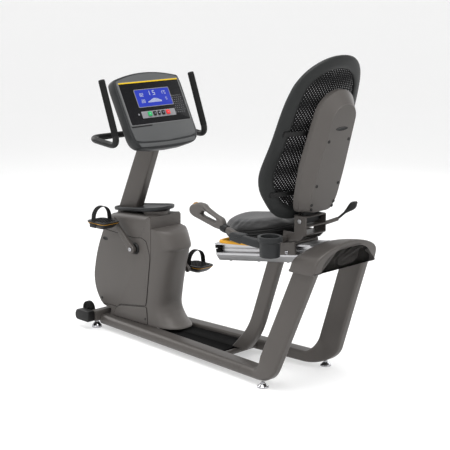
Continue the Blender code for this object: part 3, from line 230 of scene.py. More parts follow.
WARM_GREY = (0.078, 0.071, 0.066)
PAINT = grained("gunmetal_paint", WARM_GREY, 0.40, 0.35, 700.0, 0.06, 0.06)
SHROUD = grained("shroud_plastic", (0.080, 0.073, 0.068), 0.46, 0.10, 1300.0, 0.10, 0.05)
HOUSING_GREY = grained("housing_plastic", (0.068, 0.070, 0.071), 0.46, 0.0, 1300.0, 0.12, 0.06)
DARK_GREY = grained("dark_plastic", (0.016, 0.017, 0.018), 0.46, 0.0, 1300.0, 0.14, 0.06, shine=0.25)
SHELL_GREY = grained("shell_plastic", (0.013, 0.014, 0.014), 0.50, 0.0, 1500.0, 0.14, 0.06, shine=0.25)
BLACK = grained("black_plastic", (0.006, 0.006, 0.006), 0.44, 0.0, 1100.0, 0.16, 0.10, shine=0.25)
MATT_BLACK = grained("matt_black", (0.005, 0.005, 0.005), 0.85, 0.0, 500.0, 0.30, 0.10, shine=0.06)
RUBBER = grained("rubber", (0.009, 0.009, 0.009), 0.80, 0.0, 700.0, 0.30, 0.12, shine=0.12)
AMBER = grained("amber_plastic", (0.56, 0.27, 0.010), 0.40, 0.0, 1200.0, 0.05, 0.04, shine=0.2)
YELLOW = grained("yellow_line", (0.56, 0.37, 0.010), 0.45, 0.0, 1200.0, 0.05, 0.04, shine=0.1)
KEY_GREEN = grained("green_key", (0.015, 0.34, 0.10), 0.38, 0.0, 1500.0, 0.05, 0.04)
KEY_RED = grained("red_key", (0.62, 0.03, 0.03), 0.38, 0.0, 1500.0, 0.05, 0.04)
KEY_STRIP = grained("key_strip", (0.19, 0.19, 0.20), 0.40, 0.0, 1500.0, 0.05, 0.04)
CLEAR_WHITE = grained("screen_white", (0.34, 0.37, 0.48), 0.40, 0.0, 1500.0, 0.02, 0.02)
GLASS_BLACK = grained("panel_gloss", (0.004, 0.004, 0.005), 0.24, 0.0, 40.0, 0.0, 0.10, 0.03, shine=0.16)
TRIM_GREY = grained("trim_grey", (0.120, 0.121, 0.123), 0.42, 0.0, 1300.0, 0.10, 0.05)


# %% [markdown]
# ## Bare metals
# Extruded aluminium keeps long draw lines, so its noise is stretched 45 times along the rail. Chrome is
# nearly a mirror with a few faint smears, and steel sits between the two.


# %% Drawn and polished metal
def metal(name, colour, roughness, lines=(1.0, 1.0, 1.0), scale=60.0, spread=0.10):
    """Roughness = base + spread * noise, the noise stretched along the tool's path."""
    g = Graph(name, roughness, 1.0)
    streak = g.noise(scale, 3.0, lines)
    g.set("Base Color", g.mix(streak, rgb(*(c * 0.90 for c in colour)), rgb(*colour)))
    g.set("Roughness", roughness + spread * streak)
    g.bump(streak, 0.04, 0.0003)
    return g.material


RAIL_METAL = metal("rail_aluminium", (0.50, 0.50, 0.51), 0.30, (2.0, 90.0, 90.0), 6.0, 0.16)
STEEL = metal("plain_steel", (0.42, 0.42, 0.43), 0.34)
CHROME = metal("chrome", (0.46, 0.46, 0.48), 0.12, spread=0.08)
IRON = metal("cast_iron", (0.16, 0.16, 0.16), 0.52, scale=140.0)

# %% [markdown]
# ## Tools for surfaces
# Most pieces are a section carried along a line: a rail, a leg, a tube, a strap. The section's points and the
# line's stations form a grid, and a grid of points is a skin of quads. One function makes the skin, others
# make the sections, and one more turns a finished shape into a piece that rides on its CAD body.


# %% Skins from grids of points
def skin(rings, around=True, ends=True):
    """Faces of a grid: point j of ring i joins its neighbours; the two end rings are closed flat."""
    rings = np.asarray(rings, float)
    n, m = rings.shape[:2]
    i, j = np.meshgrid(np.arange(n - 1), np.arange(m if around else m - 1), indexing="ij")
    k = (j + 1) % m
    quads = np.stack((i * m + j, i * m + k, (i + 1) * m + k, (i + 1) * m + j), -1).reshape(-1, 4)
    faces = quads.tolist()
    if ends:
        faces.append(list(range(m))[::-1])
        faces.append(list(range((n - 1) * m, n * m)))
    return rings.reshape(-1, 3), faces


def hoop(rings):
    """Skin of a ring-shaped body: the last ring joins the first again."""
    rings = np.asarray(rings, float)
    return skin(np.concatenate((rings, rings[:1])), True, False)


def rounded(width, height, radius, steps=6):
    """Rounded rectangle: a quarter circle about each corner's centre; radii start at +u +v."""
    radius = np.broadcast_to(np.asarray(radius, float), 4)
    sign = np.array([[1, 1], [-1, 1], [-1, -1], [1, -1]], float)
    turn = np.arange(4)[:, None] * math.pi / 2 + np.linspace(0, math.pi / 2, steps + 1)
    centre = sign * (np.array([width, height]) / 2 - radius[:, None])
    ring = centre[:, None] + radius[:, None, None] * np.stack((np.cos(turn), np.sin(turn)), -1)
    return ring.reshape(-1, 2)


def circle(radius, steps=24):
    turn = np.arange(steps) * 2 * math.pi / steps
    return radius * np.stack((np.cos(turn), np.sin(turn)), -1)


def soften(outline, radius, steps=5):
    """Closed outline whose corners become parabolas that start a given distance before each corner."""
    p = np.asarray(outline, float)
    back = np.roll(p, 1, 0) - p
    ahead = np.roll(p, -1, 0) - p
    size_back = np.linalg.norm(back, axis=1, keepdims=True)
    size_ahead = np.linalg.norm(ahead, axis=1, keepdims=True)
    start = p + back * np.minimum(radius / size_back, 0.48)
    end = p + ahead * np.minimum(radius / size_ahead, 0.48)
    t = np.linspace(0, 1, steps + 1)[None, :, None]
    return ((1 - t) ** 2 * start[:, None] + 2 * t * (1 - t) * p[:, None] + t * t *
            end[:, None]).reshape(-1, p.shape[1])


def soft_path(points, radius, steps=8):
    """Open path with its inner corners rounded in the same way."""
    p = np.asarray(points, float)
    bends = soften(p, radius, steps).reshape(len(p), steps + 1, -1)
    return np.concatenate((p[:1], bends[1:-1].reshape(-1, p.shape[1]), p[-1:]))


def through(points, count):
    """Smooth curve through the points (Catmull-Rom), sampled at count places."""
    p = np.asarray(points, float)
    p = np.concatenate((2 * p[:1] - p[1:2], p, 2 * p[-1:] - p[-2:-1]))
    s = np.linspace(0, len(p) - 3 - 1e-9, count)
    i = s.astype(int)
    t = (s - i)[:, None]
    a, b, c, d = p[i], p[i + 1], p[i + 2], p[i + 3]
    return 0.5 * (2 * b + (c - a) * t + (2 * a - 5 * b + 4 * c - d) * t ** 2 + (3 * b - a - 3 * c + d) * t ** 3)


def even(outline, count):
    """Closed outline measured off into count equal steps."""
    p = np.concatenate((outline, outline[:1]))
    run = np.concatenate(([0.0], np.cumsum(np.linalg.norm(np.diff(p, axis=0), axis=1))))
    at = np.arange(count) * run[-1] / count
    return np.stack([np.interp(at, run, p[:, axis]) for axis in range(p.shape[1])], -1)


def inset(outline, amount):
    """Outline drawn in by an amount along its normals, whichever way round it runs."""
    p = np.asarray(outline, float)
    along = np.roll(p, -1, 0) - np.roll(p, 1, 0)
    along /= np.linalg.norm(along, axis=1, keepdims=True)
    area = np.sum(p[:, 0] * np.roll(p[:, 1], -1) - np.roll(p[:, 0], -1) * p[:, 1])
    normal = np.stack((-along[:, 1], along[:, 0]), -1) * (1.0 if area > 0 else -1.0)
    return p + normal * np.reshape(amount, (-1, 1))


def lift(flat, plane, at):
    """Flat (u, v) points placed in space: XZ stands on edge at y, XY lies at z, YZ stands at x."""
    flat = np.asarray(flat, float)
    level = np.full(len(flat), float(at))
    order = {"XZ": (flat[:, 0], level, flat[:, 1]), "XY": (flat[:, 0], flat[:, 1], level),
             "YZ": (level, flat[:, 0], flat[:, 1])}[plane]
    return np.stack(order, -1)


def plate(outline, plane, low, high, edge=0.002, steps=3):
    """Flat plate between two levels with a quarter-round edge: ring k is drawn in by e(1 - sin) at e(1 - cos)."""
    turn = np.linspace(0, math.pi / 2, steps + 1)
    rows = [(edge * (1 - math.sin(a)), low + edge * (1 - math.cos(a))) for a in turn]
    rows += [(edge * (1 - math.sin(a)), high - edge * (1 - math.cos(a))) for a in turn[::-1]]
    return skin([lift(inset(outline, draw), plane, level) for draw, level in rows])


def ring_plate(outer, inner, plane, low, high, edge=0.003, steps=3, count=96):
    """Plate with a hole: both outlines get equal steps, and the skin runs out, over and back through the hole."""
    out_line, in_line = even(outer, count), even(inner, count)
    turn = np.linspace(0, math.pi / 2, steps + 1)
    rows = [(out_line, edge * (1 - math.sin(a)), low + edge * (1 - math.cos(a))) for a in turn]
    rows += [(out_line, edge * (1 - math.sin(a)), high - edge * (1 - math.cos(a))) for a in turn[::-1]]
    rows += [(in_line, -edge * (1 - math.sin(a)), high - edge * (1 - math.cos(a))) for a in turn]
    rows += [(in_line, -edge * (1 - math.sin(a)), low + edge * (1 - math.cos(a))) for a in turn[::-1]]
    return hoop([lift(inset(line, draw), plane, level) for line, draw, level in rows])


def turned(profile, centre, axis="Z", steps=48):
    """Profile of (radius, height) points spun about an axis through the centre."""
    profile = np.asarray(profile, float)
    a = np.arange(steps) * 2 * math.pi / steps
    r, h = profile[:, :1], np.repeat(profile[:, 1:], steps, 1)
    u, v = r * np.cos(a), r * np.sin(a)
    order = {"Z": (u, v, h), "Y": (v, h, u), "X": (h, u, v)}[axis]
    return skin(np.stack(order, -1) + np.asarray(centre, float), True, bool(profile[0, 0] or profile[-1, 0]))


def sweep(path, section, up=(0.0, 0.0, 1.0), ends=True):
    """Section carried along a path; its v axis starts near up and is turned as little as possible."""
    path = np.asarray(path, float)
    along = np.gradient(path, axis=0)
    along /= np.linalg.norm(along, axis=1, keepdims=True)
    normals = []
    v = np.asarray(up, float)
    for tangent in along:
        v = v - tangent * np.dot(v, tangent)
        v = v / np.linalg.norm(v)
        normals.append(v)
    normals = np.array(normals)
    side = np.cross(normals, along)
    section = np.asarray(section, float)
    if section.ndim == 2:
        section = np.broadcast_to(section, (len(path),) + section.shape)
    rings = path[:, None] + side[:, None] * section[..., :1] + normals[:, None] * section[..., 1:]
    return skin(rings, True, ends)


def tube(path, radius, steps=20, dome=True):
    """Round bar along a path; its ends close in two small steps, like a ground edge."""
    path = np.asarray(path, float)
    radius = np.broadcast_to(np.asarray(radius, float), len(path)).copy()
    ring = circle(1.0, steps)
    if dome:
        first, last = path[0] - path[1], path[-1] - path[-2]
        first = path[0] + first / np.linalg.norm(first) * 0.0012
        last = path[-1] + last / np.linalg.norm(last) * 0.0012
        path = np.concatenate(([first], path, [last]))
        radius = np.concatenate(([radius[0] * 0.86], radius, [radius[-1] * 0.86]))
    up = (0.31, 0.22, 0.92)
    return sweep(path, radius[:, None, None] * ring, up)


def joined(*shapes):
    """Several shapes as one, their faces renumbered."""
    points, faces, base = [], [], 0
    for p, f in shapes:
        points.append(p)
        faces += [[index + base for index in face] for face in f]
        base += len(p)
    return np.concatenate(points), faces


def screw(place, normal, radius=0.0048, depth=0.0016):
    """Pan head with a round socket: a turned head whose middle sinks."""
    normal = Vector(normal).normalized()
    profile = np.array([(0.0, -0.0006), (radius * 0.42, -0.0006), (radius * 0.46, depth * 0.9),
                        (radius * 0.80, depth), (radius, depth * 0.45), (radius, -0.001), (0.0, -0.001)])
    points, faces = turned(profile, (0, 0, 0), "Z", 18)
    spin = np.array(normal.to_track_quat("Z", "Y").to_matrix())
    return points @ spin.T + np.asarray(place, float), faces


def smooth(t):
    """0 below 0, 1 above 1, and t * t * (3 - 2 t) between."""
    t = np.clip(t, 0.0, 1.0)
    return t * t * (3 - 2 * t)


# %% [markdown]
# ## From shape to piece
# A mesh from arrays may have doubled points at its poles and faces that look inwards. Both are cured once,
# here, before the piece gets its finish, its body and the CAD node that it stands for.


# %% Make a piece
def piece(name, shape, finish, *stands_for, body=None, slot=None, edge=0.0, sharp=38.0):
    """Welds, turns outwards, shades and names a shape, and lets it ride on its body."""
    points, faces = shape
    mesh = bpy.data.meshes.new(name)
    mesh.from_pydata(np.asarray(points).tolist(), [], faces)
    form = bmesh.new()
    form.from_mesh(mesh)
    bmesh.ops.remove_doubles(form, verts=form.verts, dist=0.000002)
    bmesh.ops.dissolve_degenerate(form, edges=form.edges, dist=0.000002)
    bmesh.ops.recalc_face_normals(form, faces=form.faces)
    if form.calc_volume(signed=True) < 0:
        bmesh.ops.reverse_faces(form, faces=form.faces)
    form.to_mesh(mesh)
    form.free()
    mesh.shade_smooth()
    obj = bpy.data.objects.new(name, mesh)
    bpy.context.scene.collection.objects.link(obj)
    if edge:
        mod = obj.modifiers.new("edges", "BEVEL")
        mod.width = edge
        mod.segments = 3
        mod.limit_method = "ANGLE"
        mod.angle_limit = math.radians(sharp)
        mod.harden_normals = True
    else:
        mesh.set_sharp_from_angle(angle=math.radians(sharp))
    mesh.materials.append(finish)
    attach(obj, body or home[stands_for[0]])
    if stands_for:
        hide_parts(*stands_for)
    return obj


SIDES = ((1, "left"), (-1, "right"))

# %% [markdown]
# ## Side frames
# Each side of the machine is one bent weldment: a low rail that is round on its outer side, a cast elbow,
# and a flat upright that leans back and inwards. The section changes along the bend, so the surface is a
# grid whose rings are rounded rectangles of changing width, depth and corner.

# %% Rails, elbows and uprights
SIDE_Y, SIDE_X, TOE_IN, LEAN_IN, LEG_FLARE = 0.200, -0.28, 0.0614, 0.095, 0.014
RAIL_W, RAIL_H, RAIL_Z = 0.080, 0.050, 0.020
LEG_W, LEG_T, LEG_LEAN, LEG_TOP = 0.110, 0.045, math.radians(20.8), 0.534
ELBOW_X, ELBOW_R, RAIL_REAR, RAIL_FRONT = -0.420, 0.120, -0.348, 0.6715


def side_section(side, x, z, turn, blend, steps=7):
    """Ring of the side frame; blend 0 is the rail's section and 1 the upright's."""
    wide, deep = RAIL_W + (LEG_T - RAIL_W) * blend, RAIL_H + (LEG_W - RAIL_H) * blend
    outer, inner = 0.0245 - 0.0125 * blend, 0.010 + 0.002 * blend
    flat = rounded(wide, deep, (outer, inner, inner, outer), steps)
    px = x + math.sin(turn) * flat[:, 1]
    pz = z + math.cos(turn) * flat[:, 1]
    face = SIDE_Y - TOE_IN * (px - SIDE_X) - blend * (LEAN_IN * (pz - RAIL_Z) - LEG_FLARE)
    return np.stack((px, side * (face - wide / 2 + flat[:, 0]), pz), -1)


def leg_rings(side, stations=28):
    """Rings from the rail's end round the elbow, then up the leg to a level cut."""
    bend, mid = math.pi / 2 - LEG_LEAN, RAIL_Z + RAIL_H / 2
    rings = [side_section(side, x, mid, 0.0, 0.0) for x in (RAIL_REAR - 0.0003, ELBOW_X)]
    for part in np.linspace(0, 1, stations)[1:]:
        a = bend * part
        blend = float(smooth(part))
        rings.append(side_section(side, ELBOW_X - ELBOW_R * math.sin(a), mid + ELBOW_R * (1 - math.cos(a)), a, blend))
    top = rings[-1].copy()
    rise = LEG_TOP - top[:, 2]
    top[:, 0] -= rise * math.tan(LEG_LEAN)
    top[:, 1] -= side * LEAN_IN * rise
    top[:, 2] = LEG_TOP
    return rings + [top]


for side, tag in SIDES:
    mid = RAIL_Z + RAIL_H / 2
    ends = np.linspace(RAIL_REAR + 0.0003, RAIL_FRONT, 5)
    piece(f"outer_rail_{tag}", skin([side_section(side, x, mid, 0.0, 0.0) for x in ends]), PAINT,
          f"side_rail_{tag}", sharp=50)
    piece(f"upright_{tag}", skin(leg_rings(side)), PAINT, f"rear_leg_{tag}", sharp=50)
    cap = skin([side_section(side, x, mid, 0.0, 0.0) for x in (RAIL_FRONT + 0.0004, RAIL_FRONT + 0.0032)])
    piece(f"rail_end_cap_{tag}", cap, BLACK, body="frame", slot="black_plastic", sharp=50)
print("side frames made")

# %% [markdown]
# ## The arched yoke
# A cast saddle joins the two uprights, carries the rear of the seat rail and closes it with a hanging shield.
# Its arch is drawn once as an outline, then repeated at thirteen depths that follow the lean of the legs; the
# first and last few are drawn in, which rolls the front and rear edges.

# %% Yoke and shield
YOKE_BASE, YOKE_TOP = 0.5345, 0.662
YOKE_REAR_X, YOKE_REAR_LEAN = -0.76206, 0.283
back_line = through([(0.200, YOKE_BASE), (0.1995, 0.560), (0.196, 0.585), (0.184, 0.606), (0.160, 0.623),
                     (0.125, 0.638), (0.080, 0.651), (0.035, 0.659), (0.0, YOKE_TOP)], 40)
under_line = through([(0.0, 0.622), (0.060, 0.621), (0.085, 0.616), (0.108, 0.606), (0.128, 0.592), (0.139, 0.575),
                      (0.143, 0.556), (0.144, YOKE_BASE)], 30)
mirrored = np.array([-1.0, 1.0])
arch = np.concatenate((back_line, back_line[::-1][1:] * mirrored, under_line[::-1] * mirrored, under_line[1:]))


def yoke_ring(at, draw):
    """Arch at a depth 0 (rear) to 1 (front): the top sinks towards the front, and both faces lean."""
    flat = inset(arch, draw)
    flat[:, 1] = np.maximum(flat[:, 1], YOKE_BASE)
    z = flat[:, 1] - 0.024 * at ** 1.6 * np.clip((flat[:, 1] - 0.575) / (YOKE_TOP - 0.575), 0, None)
    rear = YOKE_REAR_X - YOKE_REAR_LEAN * (flat[:, 1] - YOKE_BASE)
    front = -0.6255 - 0.33 * (flat[:, 1] - YOKE_BASE)
    return np.stack((rear + (front - rear) * at, flat[:, 0], z), -1)


roll = np.linspace(0, math.pi / 2, 5)
depths = [(0.07 * (1 - math.cos(a)), 0.009 * (1 - math.sin(a))) for a in roll]
depths += [(d, 0.0) for d in (0.25, 0.5, 0.75)]
depths += [(1 - 0.07 * (1 - math.cos(a)), 0.009 * (1 - math.sin(a))) for a in roll[::-1]]
shield_half = np.array([(0.068, 0.640), (0.068, 0.592), (0.060, 0.574), (0.050, 0.562), (0.036, 0.553)])
shield = np.concatenate((shield_half, shield_half[::-1] * mirrored))
shield_flat = soften(shield, 0.008, 4)
shield_x = YOKE_REAR_X - YOKE_REAR_LEAN * (shield_flat[:, 1] - YOKE_BASE)
shield_rings = [np.stack((shield_x + depth, shield_flat[:, 0], shield_flat[:, 1]), -1) for depth in (0.0, 0.0100)]
piece("yoke_casting", joined(skin([yoke_ring(at, draw) for at, draw in depths]), skin(shield_rings)),
      PAINT, "rear_yoke", sharp=55)

# %% [markdown]
# ## Post and seat rail
# The post under the rail is a flat-sided tube that kicks forward at its foot. The seat rail is an aluminium
# extrusion: one outline with grooves, pushed out along a straight line that climbs to the rear.

# %% Post, rail, its end plate and the painted shade in its open end
SLIDE_TILT = math.radians(8.4)
SLIDE_FRONT = np.array([-0.056, 0.540])
SLIDE_LENGTH, SLIDE_HALF, SLIDE_H = 0.690, 0.064, 0.0815


def on_slide(s, y, n):
    """Point s back along the seat rail, y to the left and n above its top face."""
    c, t = math.cos(SLIDE_TILT), math.sin(SLIDE_TILT)
    s, y, n = np.broadcast_arrays(np.asarray(s, float), np.asarray(y, float), np.asarray(n, float))
    return np.stack((SLIDE_FRONT[0] - s * c + n * t, y, SLIDE_FRONT[1] + s * t + n * c), -1)


low, high = math.radians(44.0), math.radians(19.1)
share = smooth(np.linspace(0, 1, 15))
lean = np.concatenate((low + (high - low) * share, np.full(12, high)))
POST_STEP = 0.0155
x = -0.1715 - np.concatenate(([0], np.cumsum(np.sin(lean) * POST_STEP)))[:-1]
z = 0.0650 + np.concatenate(([0], np.cumsum(np.cos(lean) * POST_STEP)))[:-1]
post_rings = []
for px, pz, a in zip(x, z, lean):
    flat = rounded(0.068, 0.042, 0.010, 5)
    post_rings.append(np.stack((px + flat[:, 0] * math.cos(a), flat[:, 1], pz + flat[:, 0] * math.sin(a)), -1))
base_ring = post_rings[0].copy()
base_ring[:, 0] -= (0.0625 - base_ring[:, 2]) * math.tan(low)
base_ring[:, 2] = 0.0625
post_rings[0] = base_ring
keep = [r for r in post_rings[:1] + post_rings[3:] if r[:, 2].max() < 0.470]
last = keep[-1].copy()
s = (SLIDE_FRONT[0] - last[:, 0]) / math.cos(SLIDE_TILT)
under = SLIDE_FRONT[1] + s * math.sin(SLIDE_TILT) - SLIDE_H / math.cos(SLIDE_TILT)
for _ in range(6):
    rise = under - last[:, 2] - 0.001
    last[:, 0] -= rise * math.tan(high) * 0.9
    last[:, 2] += rise * 0.9
    under = SLIDE_FRONT[1] + (SLIDE_FRONT[0] - last[:, 0]) * math.tan(SLIDE_TILT) - SLIDE_H / math.cos(SLIDE_TILT)
piece("post", skin(keep + [last]), PAINT, "centre_post", sharp=50)

rail_half = np.array([(SLIDE_HALF, 0.0), (SLIDE_HALF, -0.0075), (0.0600, -0.0085), (0.0455, -0.0105),
                      (0.0455, -0.0230),
                      (0.0475, -0.0245), (0.0475, -0.0262), (0.0455, -0.0277), (0.0455, -0.0400), (0.0610, -0.0440),
                      (0.0610, -0.0540), (0.0592, -0.0556), (0.0430, -SLIDE_H)])
rail_outline = np.concatenate((rail_half, rail_half[::-1] * mirrored))
rail_outline = soften(rail_outline, 0.0010, 2)
rail_rings = [on_slide(s, rail_outline[:, 0], rail_outline[:, 1]) for s in (0.0, SLIDE_LENGTH - 0.113)]
piece("rail_extrusion", skin(rail_rings), RAIL_METAL, "seat_rail", sharp=30)
# Painted shade: a thin black sheet just in front of the rail's end face, inside its wall, stands in for the shade
# inside the open hollow.
wall = 0.0045
mouth_shade_line = inset(rail_outline, wall)
piece("rail_mouth_painted_shade", skin([on_slide(s, mouth_shade_line[:, 0], mouth_shade_line[:, 1]) for s in (-0.0006, -0.0001)]), BLACK,
      body="frame", slot="black_plastic")
# Matt black blocks fill both side grooves of the rail over the first 30 mm behind its front end.
groove_blocks = []
for side, tag in SIDES:
    for top, bottom, deep in ((-0.0102, -0.0236, 0.0615), (-0.0274, -0.0415, 0.0595)):
        corner = np.array([(side * 0.0450, top), (side * deep, top), (side * deep, bottom), (side * 0.0450, bottom)])
        if side < 0:
            corner = corner[::-1]
        groove_blocks.append(skin([on_slide(s, corner[:, 0], corner[:, 1]) for s in (0.0002, 0.0300)]))
piece("rail_groove_end_blocks", joined(*groove_blocks), MATT_BLACK, body="frame", slot="black_plastic", sharp=30)
underside = []
for s in (0.060, 0.235, 0.410):
    for y in (-0.030, 0.030):
        at = on_slide(s, y, -SLIDE_H)
        underside.append(screw(at, (-math.sin(SLIDE_TILT), 0, -math.cos(SLIDE_TILT)), 0.0065, 0.0050))
piece("rail_bolts", joined(*underside), STEEL, body="frame", slot="steel", sharp=30)
web = np.array([(0.050, -0.0415), (-0.050, -0.0415), (-0.050, -0.0452), (0.050, -0.0452)])
piece("rail_web", skin([on_slide(s, web[:, 0], web[:, 1]) for s in (-0.0012, -0.0004)]), RAIL_METAL,
      body="frame", slot="rail_aluminium")

# %% [markdown]
# ## Deck, cross tube and stabilizer
# Feet step on a black deck between the rails. It has a raised spine and two ribbed pads; the ribs are a sine
# wave in the grid itself, so that they catch the light from any side.

# %% Deck with ribs
xs = np.linspace(-0.1295, 0.3300, 231)
half = SIDE_Y - TOE_IN * (xs - SIDE_X) - RAIL_W - 0.0010
ribs = np.where((xs > -0.105) & (xs < 0.300), 0.0006 * np.sin(xs * 2 * math.pi / 0.008), 0.0)
deck_rows = []
for x, h, rib in zip(xs, half, ribs):
    u = np.array([h, h, h - 0.004, h - 0.010, h - 0.011, 0.030, 0.029, 0.023, 0.018, 0.014])
    v = np.array([0.030, 0.053, 0.0555, 0.0555, 0.0548 + rib, 0.0548 + rib, 0.0555, 0.0558, 0.0608, 0.0615])
    row = np.stack((np.full(20, x), np.concatenate((u, -u[::-1])), np.concatenate((v, v[::-1]))), -1)
    deck_rows.append(row)
piece("deck_board", skin(deck_rows), MATT_BLACK, "step_deck", sharp=35)
bar_end = [(0.0, 0.1118), (0.0112, 0.1118), (0.0125, 0.1105)]
bar_profile = [(r, -h) for r, h in bar_end] + bar_end[::-1]
piece("cross_bar", turned(bar_profile, (-0.1460, 0.0, 0.0420), "Y", 32), PAINT, "cross_tube")
beam = soften(np.array([(0.672, 0.040), (0.722, 0.040), (0.722, 0.090), (0.672, 0.090)]), 0.010, 5)
piece("front_beam", plate(beam, "XZ", -0.1645, 0.1645, 0.0008), PAINT, "front_stabilizer", sharp=50)

# %% [markdown]
# ## End caps, wheels and feet
# Caps close the front beam and hold the transport wheels. A wheel is a turned tyre with a hub, and each
# levelling foot is a turned bell with a hexagonal nut above it.

# %% Caps, wheels, feet
WHEEL_R, WHEEL_C = 0.036, np.array([0.7605, 0.138, 0.0875])
FEET = {"rear_left": (-0.494, 0.2065, 0.0250), "rear_right": (-0.494, -0.2065, 0.0250),
        "front_left": (0.7056, 0.1348, 0.0395), "front_right": (0.7056, -0.1348, 0.0395)}
cap_line = soften(np.array([(0.683, 0.040), (0.776, 0.040), (0.7875, 0.052), (0.7875, 0.076), (0.776, 0.0935),
                            (0.683, 0.0935)]), 0.012, 6)
for side, tag in SIDES:
    low, high = sorted((side * 0.1650, side * 0.2066))
    piece(f"beam_cap_{tag}", plate(cap_line, "XZ", low, high, 0.0050, 4), BLACK, f"stabilizer_cap_{tag}", sharp=50)
    tread = [(WHEEL_R - 0.0010 * g, h) for h, g in zip(np.linspace(0.0085, -0.0085, 9), np.tile([0.0, 1.0], 5))]
    hub = [(0.0, 0.0135), (0.0065, 0.0135), (0.0075, 0.0100), (0.0220, 0.0085), (0.0245, 0.0120),
           (WHEEL_R - 0.004, 0.0122), (WHEEL_R - 0.001, 0.0105)]
    profile = hub + tread + [(r, -h) for r, h in hub[::-1]]
    centre = WHEEL_C * (1, side, 1)
    piece(f"roller_{tag}", turned(profile, centre, "Y", 64), RUBBER, f"transport_wheel_{tag}", sharp=30)
for tag, (x, y, height) in FEET.items():
    bell = [(0.0, 0.0), (0.0235, 0.0), (0.0255, 0.0015), (0.0255, height * 0.18), (0.0240, height * 0.30),
            (0.0195, height * 0.42),
            (0.0150, height * 0.60), (0.0120, height * 0.70), (0.0080, height * 0.74), (0.0, height * 0.74)]
    stem = [(0.0, height * 0.70), (0.0062, height * 0.70), (0.0062, height), (0.0, height)]
    hexagon = circle(0.0105, 6)
    hexes = skin([lift(hexagon + (x, y), "XY", height * level) for level in (0.76, 0.94)])
    piece(f"foot_{tag}", joined(turned(bell, (x, y, 0.0)), turned(stem, (x, y, 0.0), "Z", 20), hexes), CHROME,
          f"levelling_foot_{tag}", sharp=30)
print("base made")

# %% [markdown]
# ## The paper sweep
# The floor turns up into a round wall along a wide quarter circle, so that it looks the same from every side.

# %% Round sweep of paper
arc = np.linspace(0, math.pi / 2, 20)
reach = np.concatenate(([0.01, 3.0, 9.0], 9.0 + 4.0 * np.sin(arc[1:]), [13.0]))
height = np.concatenate(([0.0, 0.0, 0.0], 4.0 - 4.0 * np.cos(arc[1:]), [12.0]))
paper_points, paper_faces = skin([lift(circle(r, 96), "XY", z) for r, z in zip(reach, height)], True, False)
paper_mesh = bpy.data.meshes.new("paper")
paper_mesh.from_pydata(paper_points.tolist(), [], paper_faces)
paper_mesh.shade_smooth()
paper_look = Graph("paper", 0.9)
paper_look.shader.inputs["Base Color"].default_value = rgb(0.58, 0.58, 0.58)
paper_look.shader.inputs["Emission Color"].default_value = rgb(1.0, 1.0, 1.0)
paper_look.shader.inputs["Emission Strength"].default_value = 0.44
paper_mesh.materials.append(paper_look.material)
paper_sheet = bpy.data.objects.new("paper", paper_mesh)
bpy.context.scene.collection.objects.link(paper_sheet)

# %% [markdown]
# ## Drive housing
# Two moulded half shells hide the pulley and flywheel. Each is drawn as one closed body, not as a thin wall.
# From the side they are one rounded outline; towards the front their edge rolls over, towards the rear they
# meet the spine cover. A large side panel is set on each, and the line around it is a dark bead in the joint.

# %% Half shells
HOUSE_HALF = 0.100


def seam_x(z):
    """Rear edge of the housing sides: straight above, sloping forward towards the foot."""
    return 0.3395 + 0.1484 * np.clip(0.430 - np.maximum(z, 0.150), 0.0, None)


front_line = through([(0.3480, 0.6030), (0.3650, 0.6050), (0.5000, 0.5960), (0.6100, 0.5860), (0.6500, 0.5700),
                      (0.6820, 0.5350), (0.7090, 0.4770), (0.7370, 0.4150), (0.7570, 0.3550), (0.7710, 0.2960),
                      (0.7765, 0.2465), (0.7680, 0.1900), (0.7480, 0.1480), (0.7150, 0.1080), (0.6720, 0.0965)], 120)
rear_z = np.linspace(0.0712, 0.5950, 40)
rear_line = np.stack((seam_x(rear_z), rear_z), -1)
house_line = np.concatenate((front_line, [(0.6430, 0.0950), (0.6430, 0.0712)], rear_line))
roundness = smooth((house_line[:, 0] - seam_x(house_line[:, 1]) - 0.004) / 0.05) * smooth((house_line[:, 1] -
                                                                                           0.080) / 0.03)
for side, tag in SIDES:
    rows = [lift(house_line, "XZ", side * 0.0003)]
    for a in np.linspace(0, math.pi / 2, 9):
        draw = 0.026 * (1 - math.cos(a))
        level = HOUSE_HALF - 0.0016 - 0.026 * (1 - math.sin(a))
        rows.append(lift(inset(house_line, draw * roundness), "XZ", side * level))
    piece(f"half_shell_{tag}", skin(rows), SHROUD, f"shroud_{tag}", sharp=60)

# %% [markdown]
# ## Side panel and skirt
# The panel follows the housing's front line at a constant margin, then turns back above the crank and down
# beside the spine. Below it a skirt wraps the foot.

# %% Panel, skirt and screws
margin = inset(house_line, 0.019)[:120]
margin = margin[(margin[:, 1] < 0.500) & (margin[:, 1] > 0.118)]
panel_line = np.concatenate((margin, [(0.640, 0.122), (0.585, 0.1225), (0.566, 0.1390), (0.3800, 0.1660),
                                      (0.3720, 0.1980),
                                      (0.3440, 0.4100), (0.3700, 0.4830), (0.4050, 0.4950), (0.4500, 0.4870),
                                      (0.5400, 0.4900)]))
panel_line = soften(even(panel_line, 160), 0.004, 1)
skirt_line = soften(np.array([(0.620, 0.0722), (0.600, 0.1110), (0.575, 0.1290), (0.545, 0.1350), (0.374, 0.1600),
                              (0.3660, 0.0722)]),
                    0.012, 5)
for side, tag in SIDES:
    low, high = sorted((side * 0.0978, side * 0.1003))
    piece(f"side_panel_{tag}", plate(panel_line, "XZ", low, high, 0.0016, 4), SHROUD, body="frame",
          slot="shroud_plastic", sharp=60)
    low, high = sorted((side * 0.0978, side * 0.1010))
    piece(f"skirt_{tag}", plate(skirt_line, "XZ", low, high, 0.0016, 4), SHROUD, body="frame",
          slot="shroud_plastic", sharp=60)
    seams = []
    for line in (inset(panel_line, -0.0008), inset(skirt_line, -0.0008)):
        loop = lift(line, "XZ", side * 0.0985)
        seams.append(sweep(np.concatenate((loop, loop[:2])), circle(0.0012, 8), (0, 1, 0), True))
    piece(f"panel_seam_{tag}", joined(*seams), MATT_BLACK, body="frame", slot="black_plastic", sharp=60)

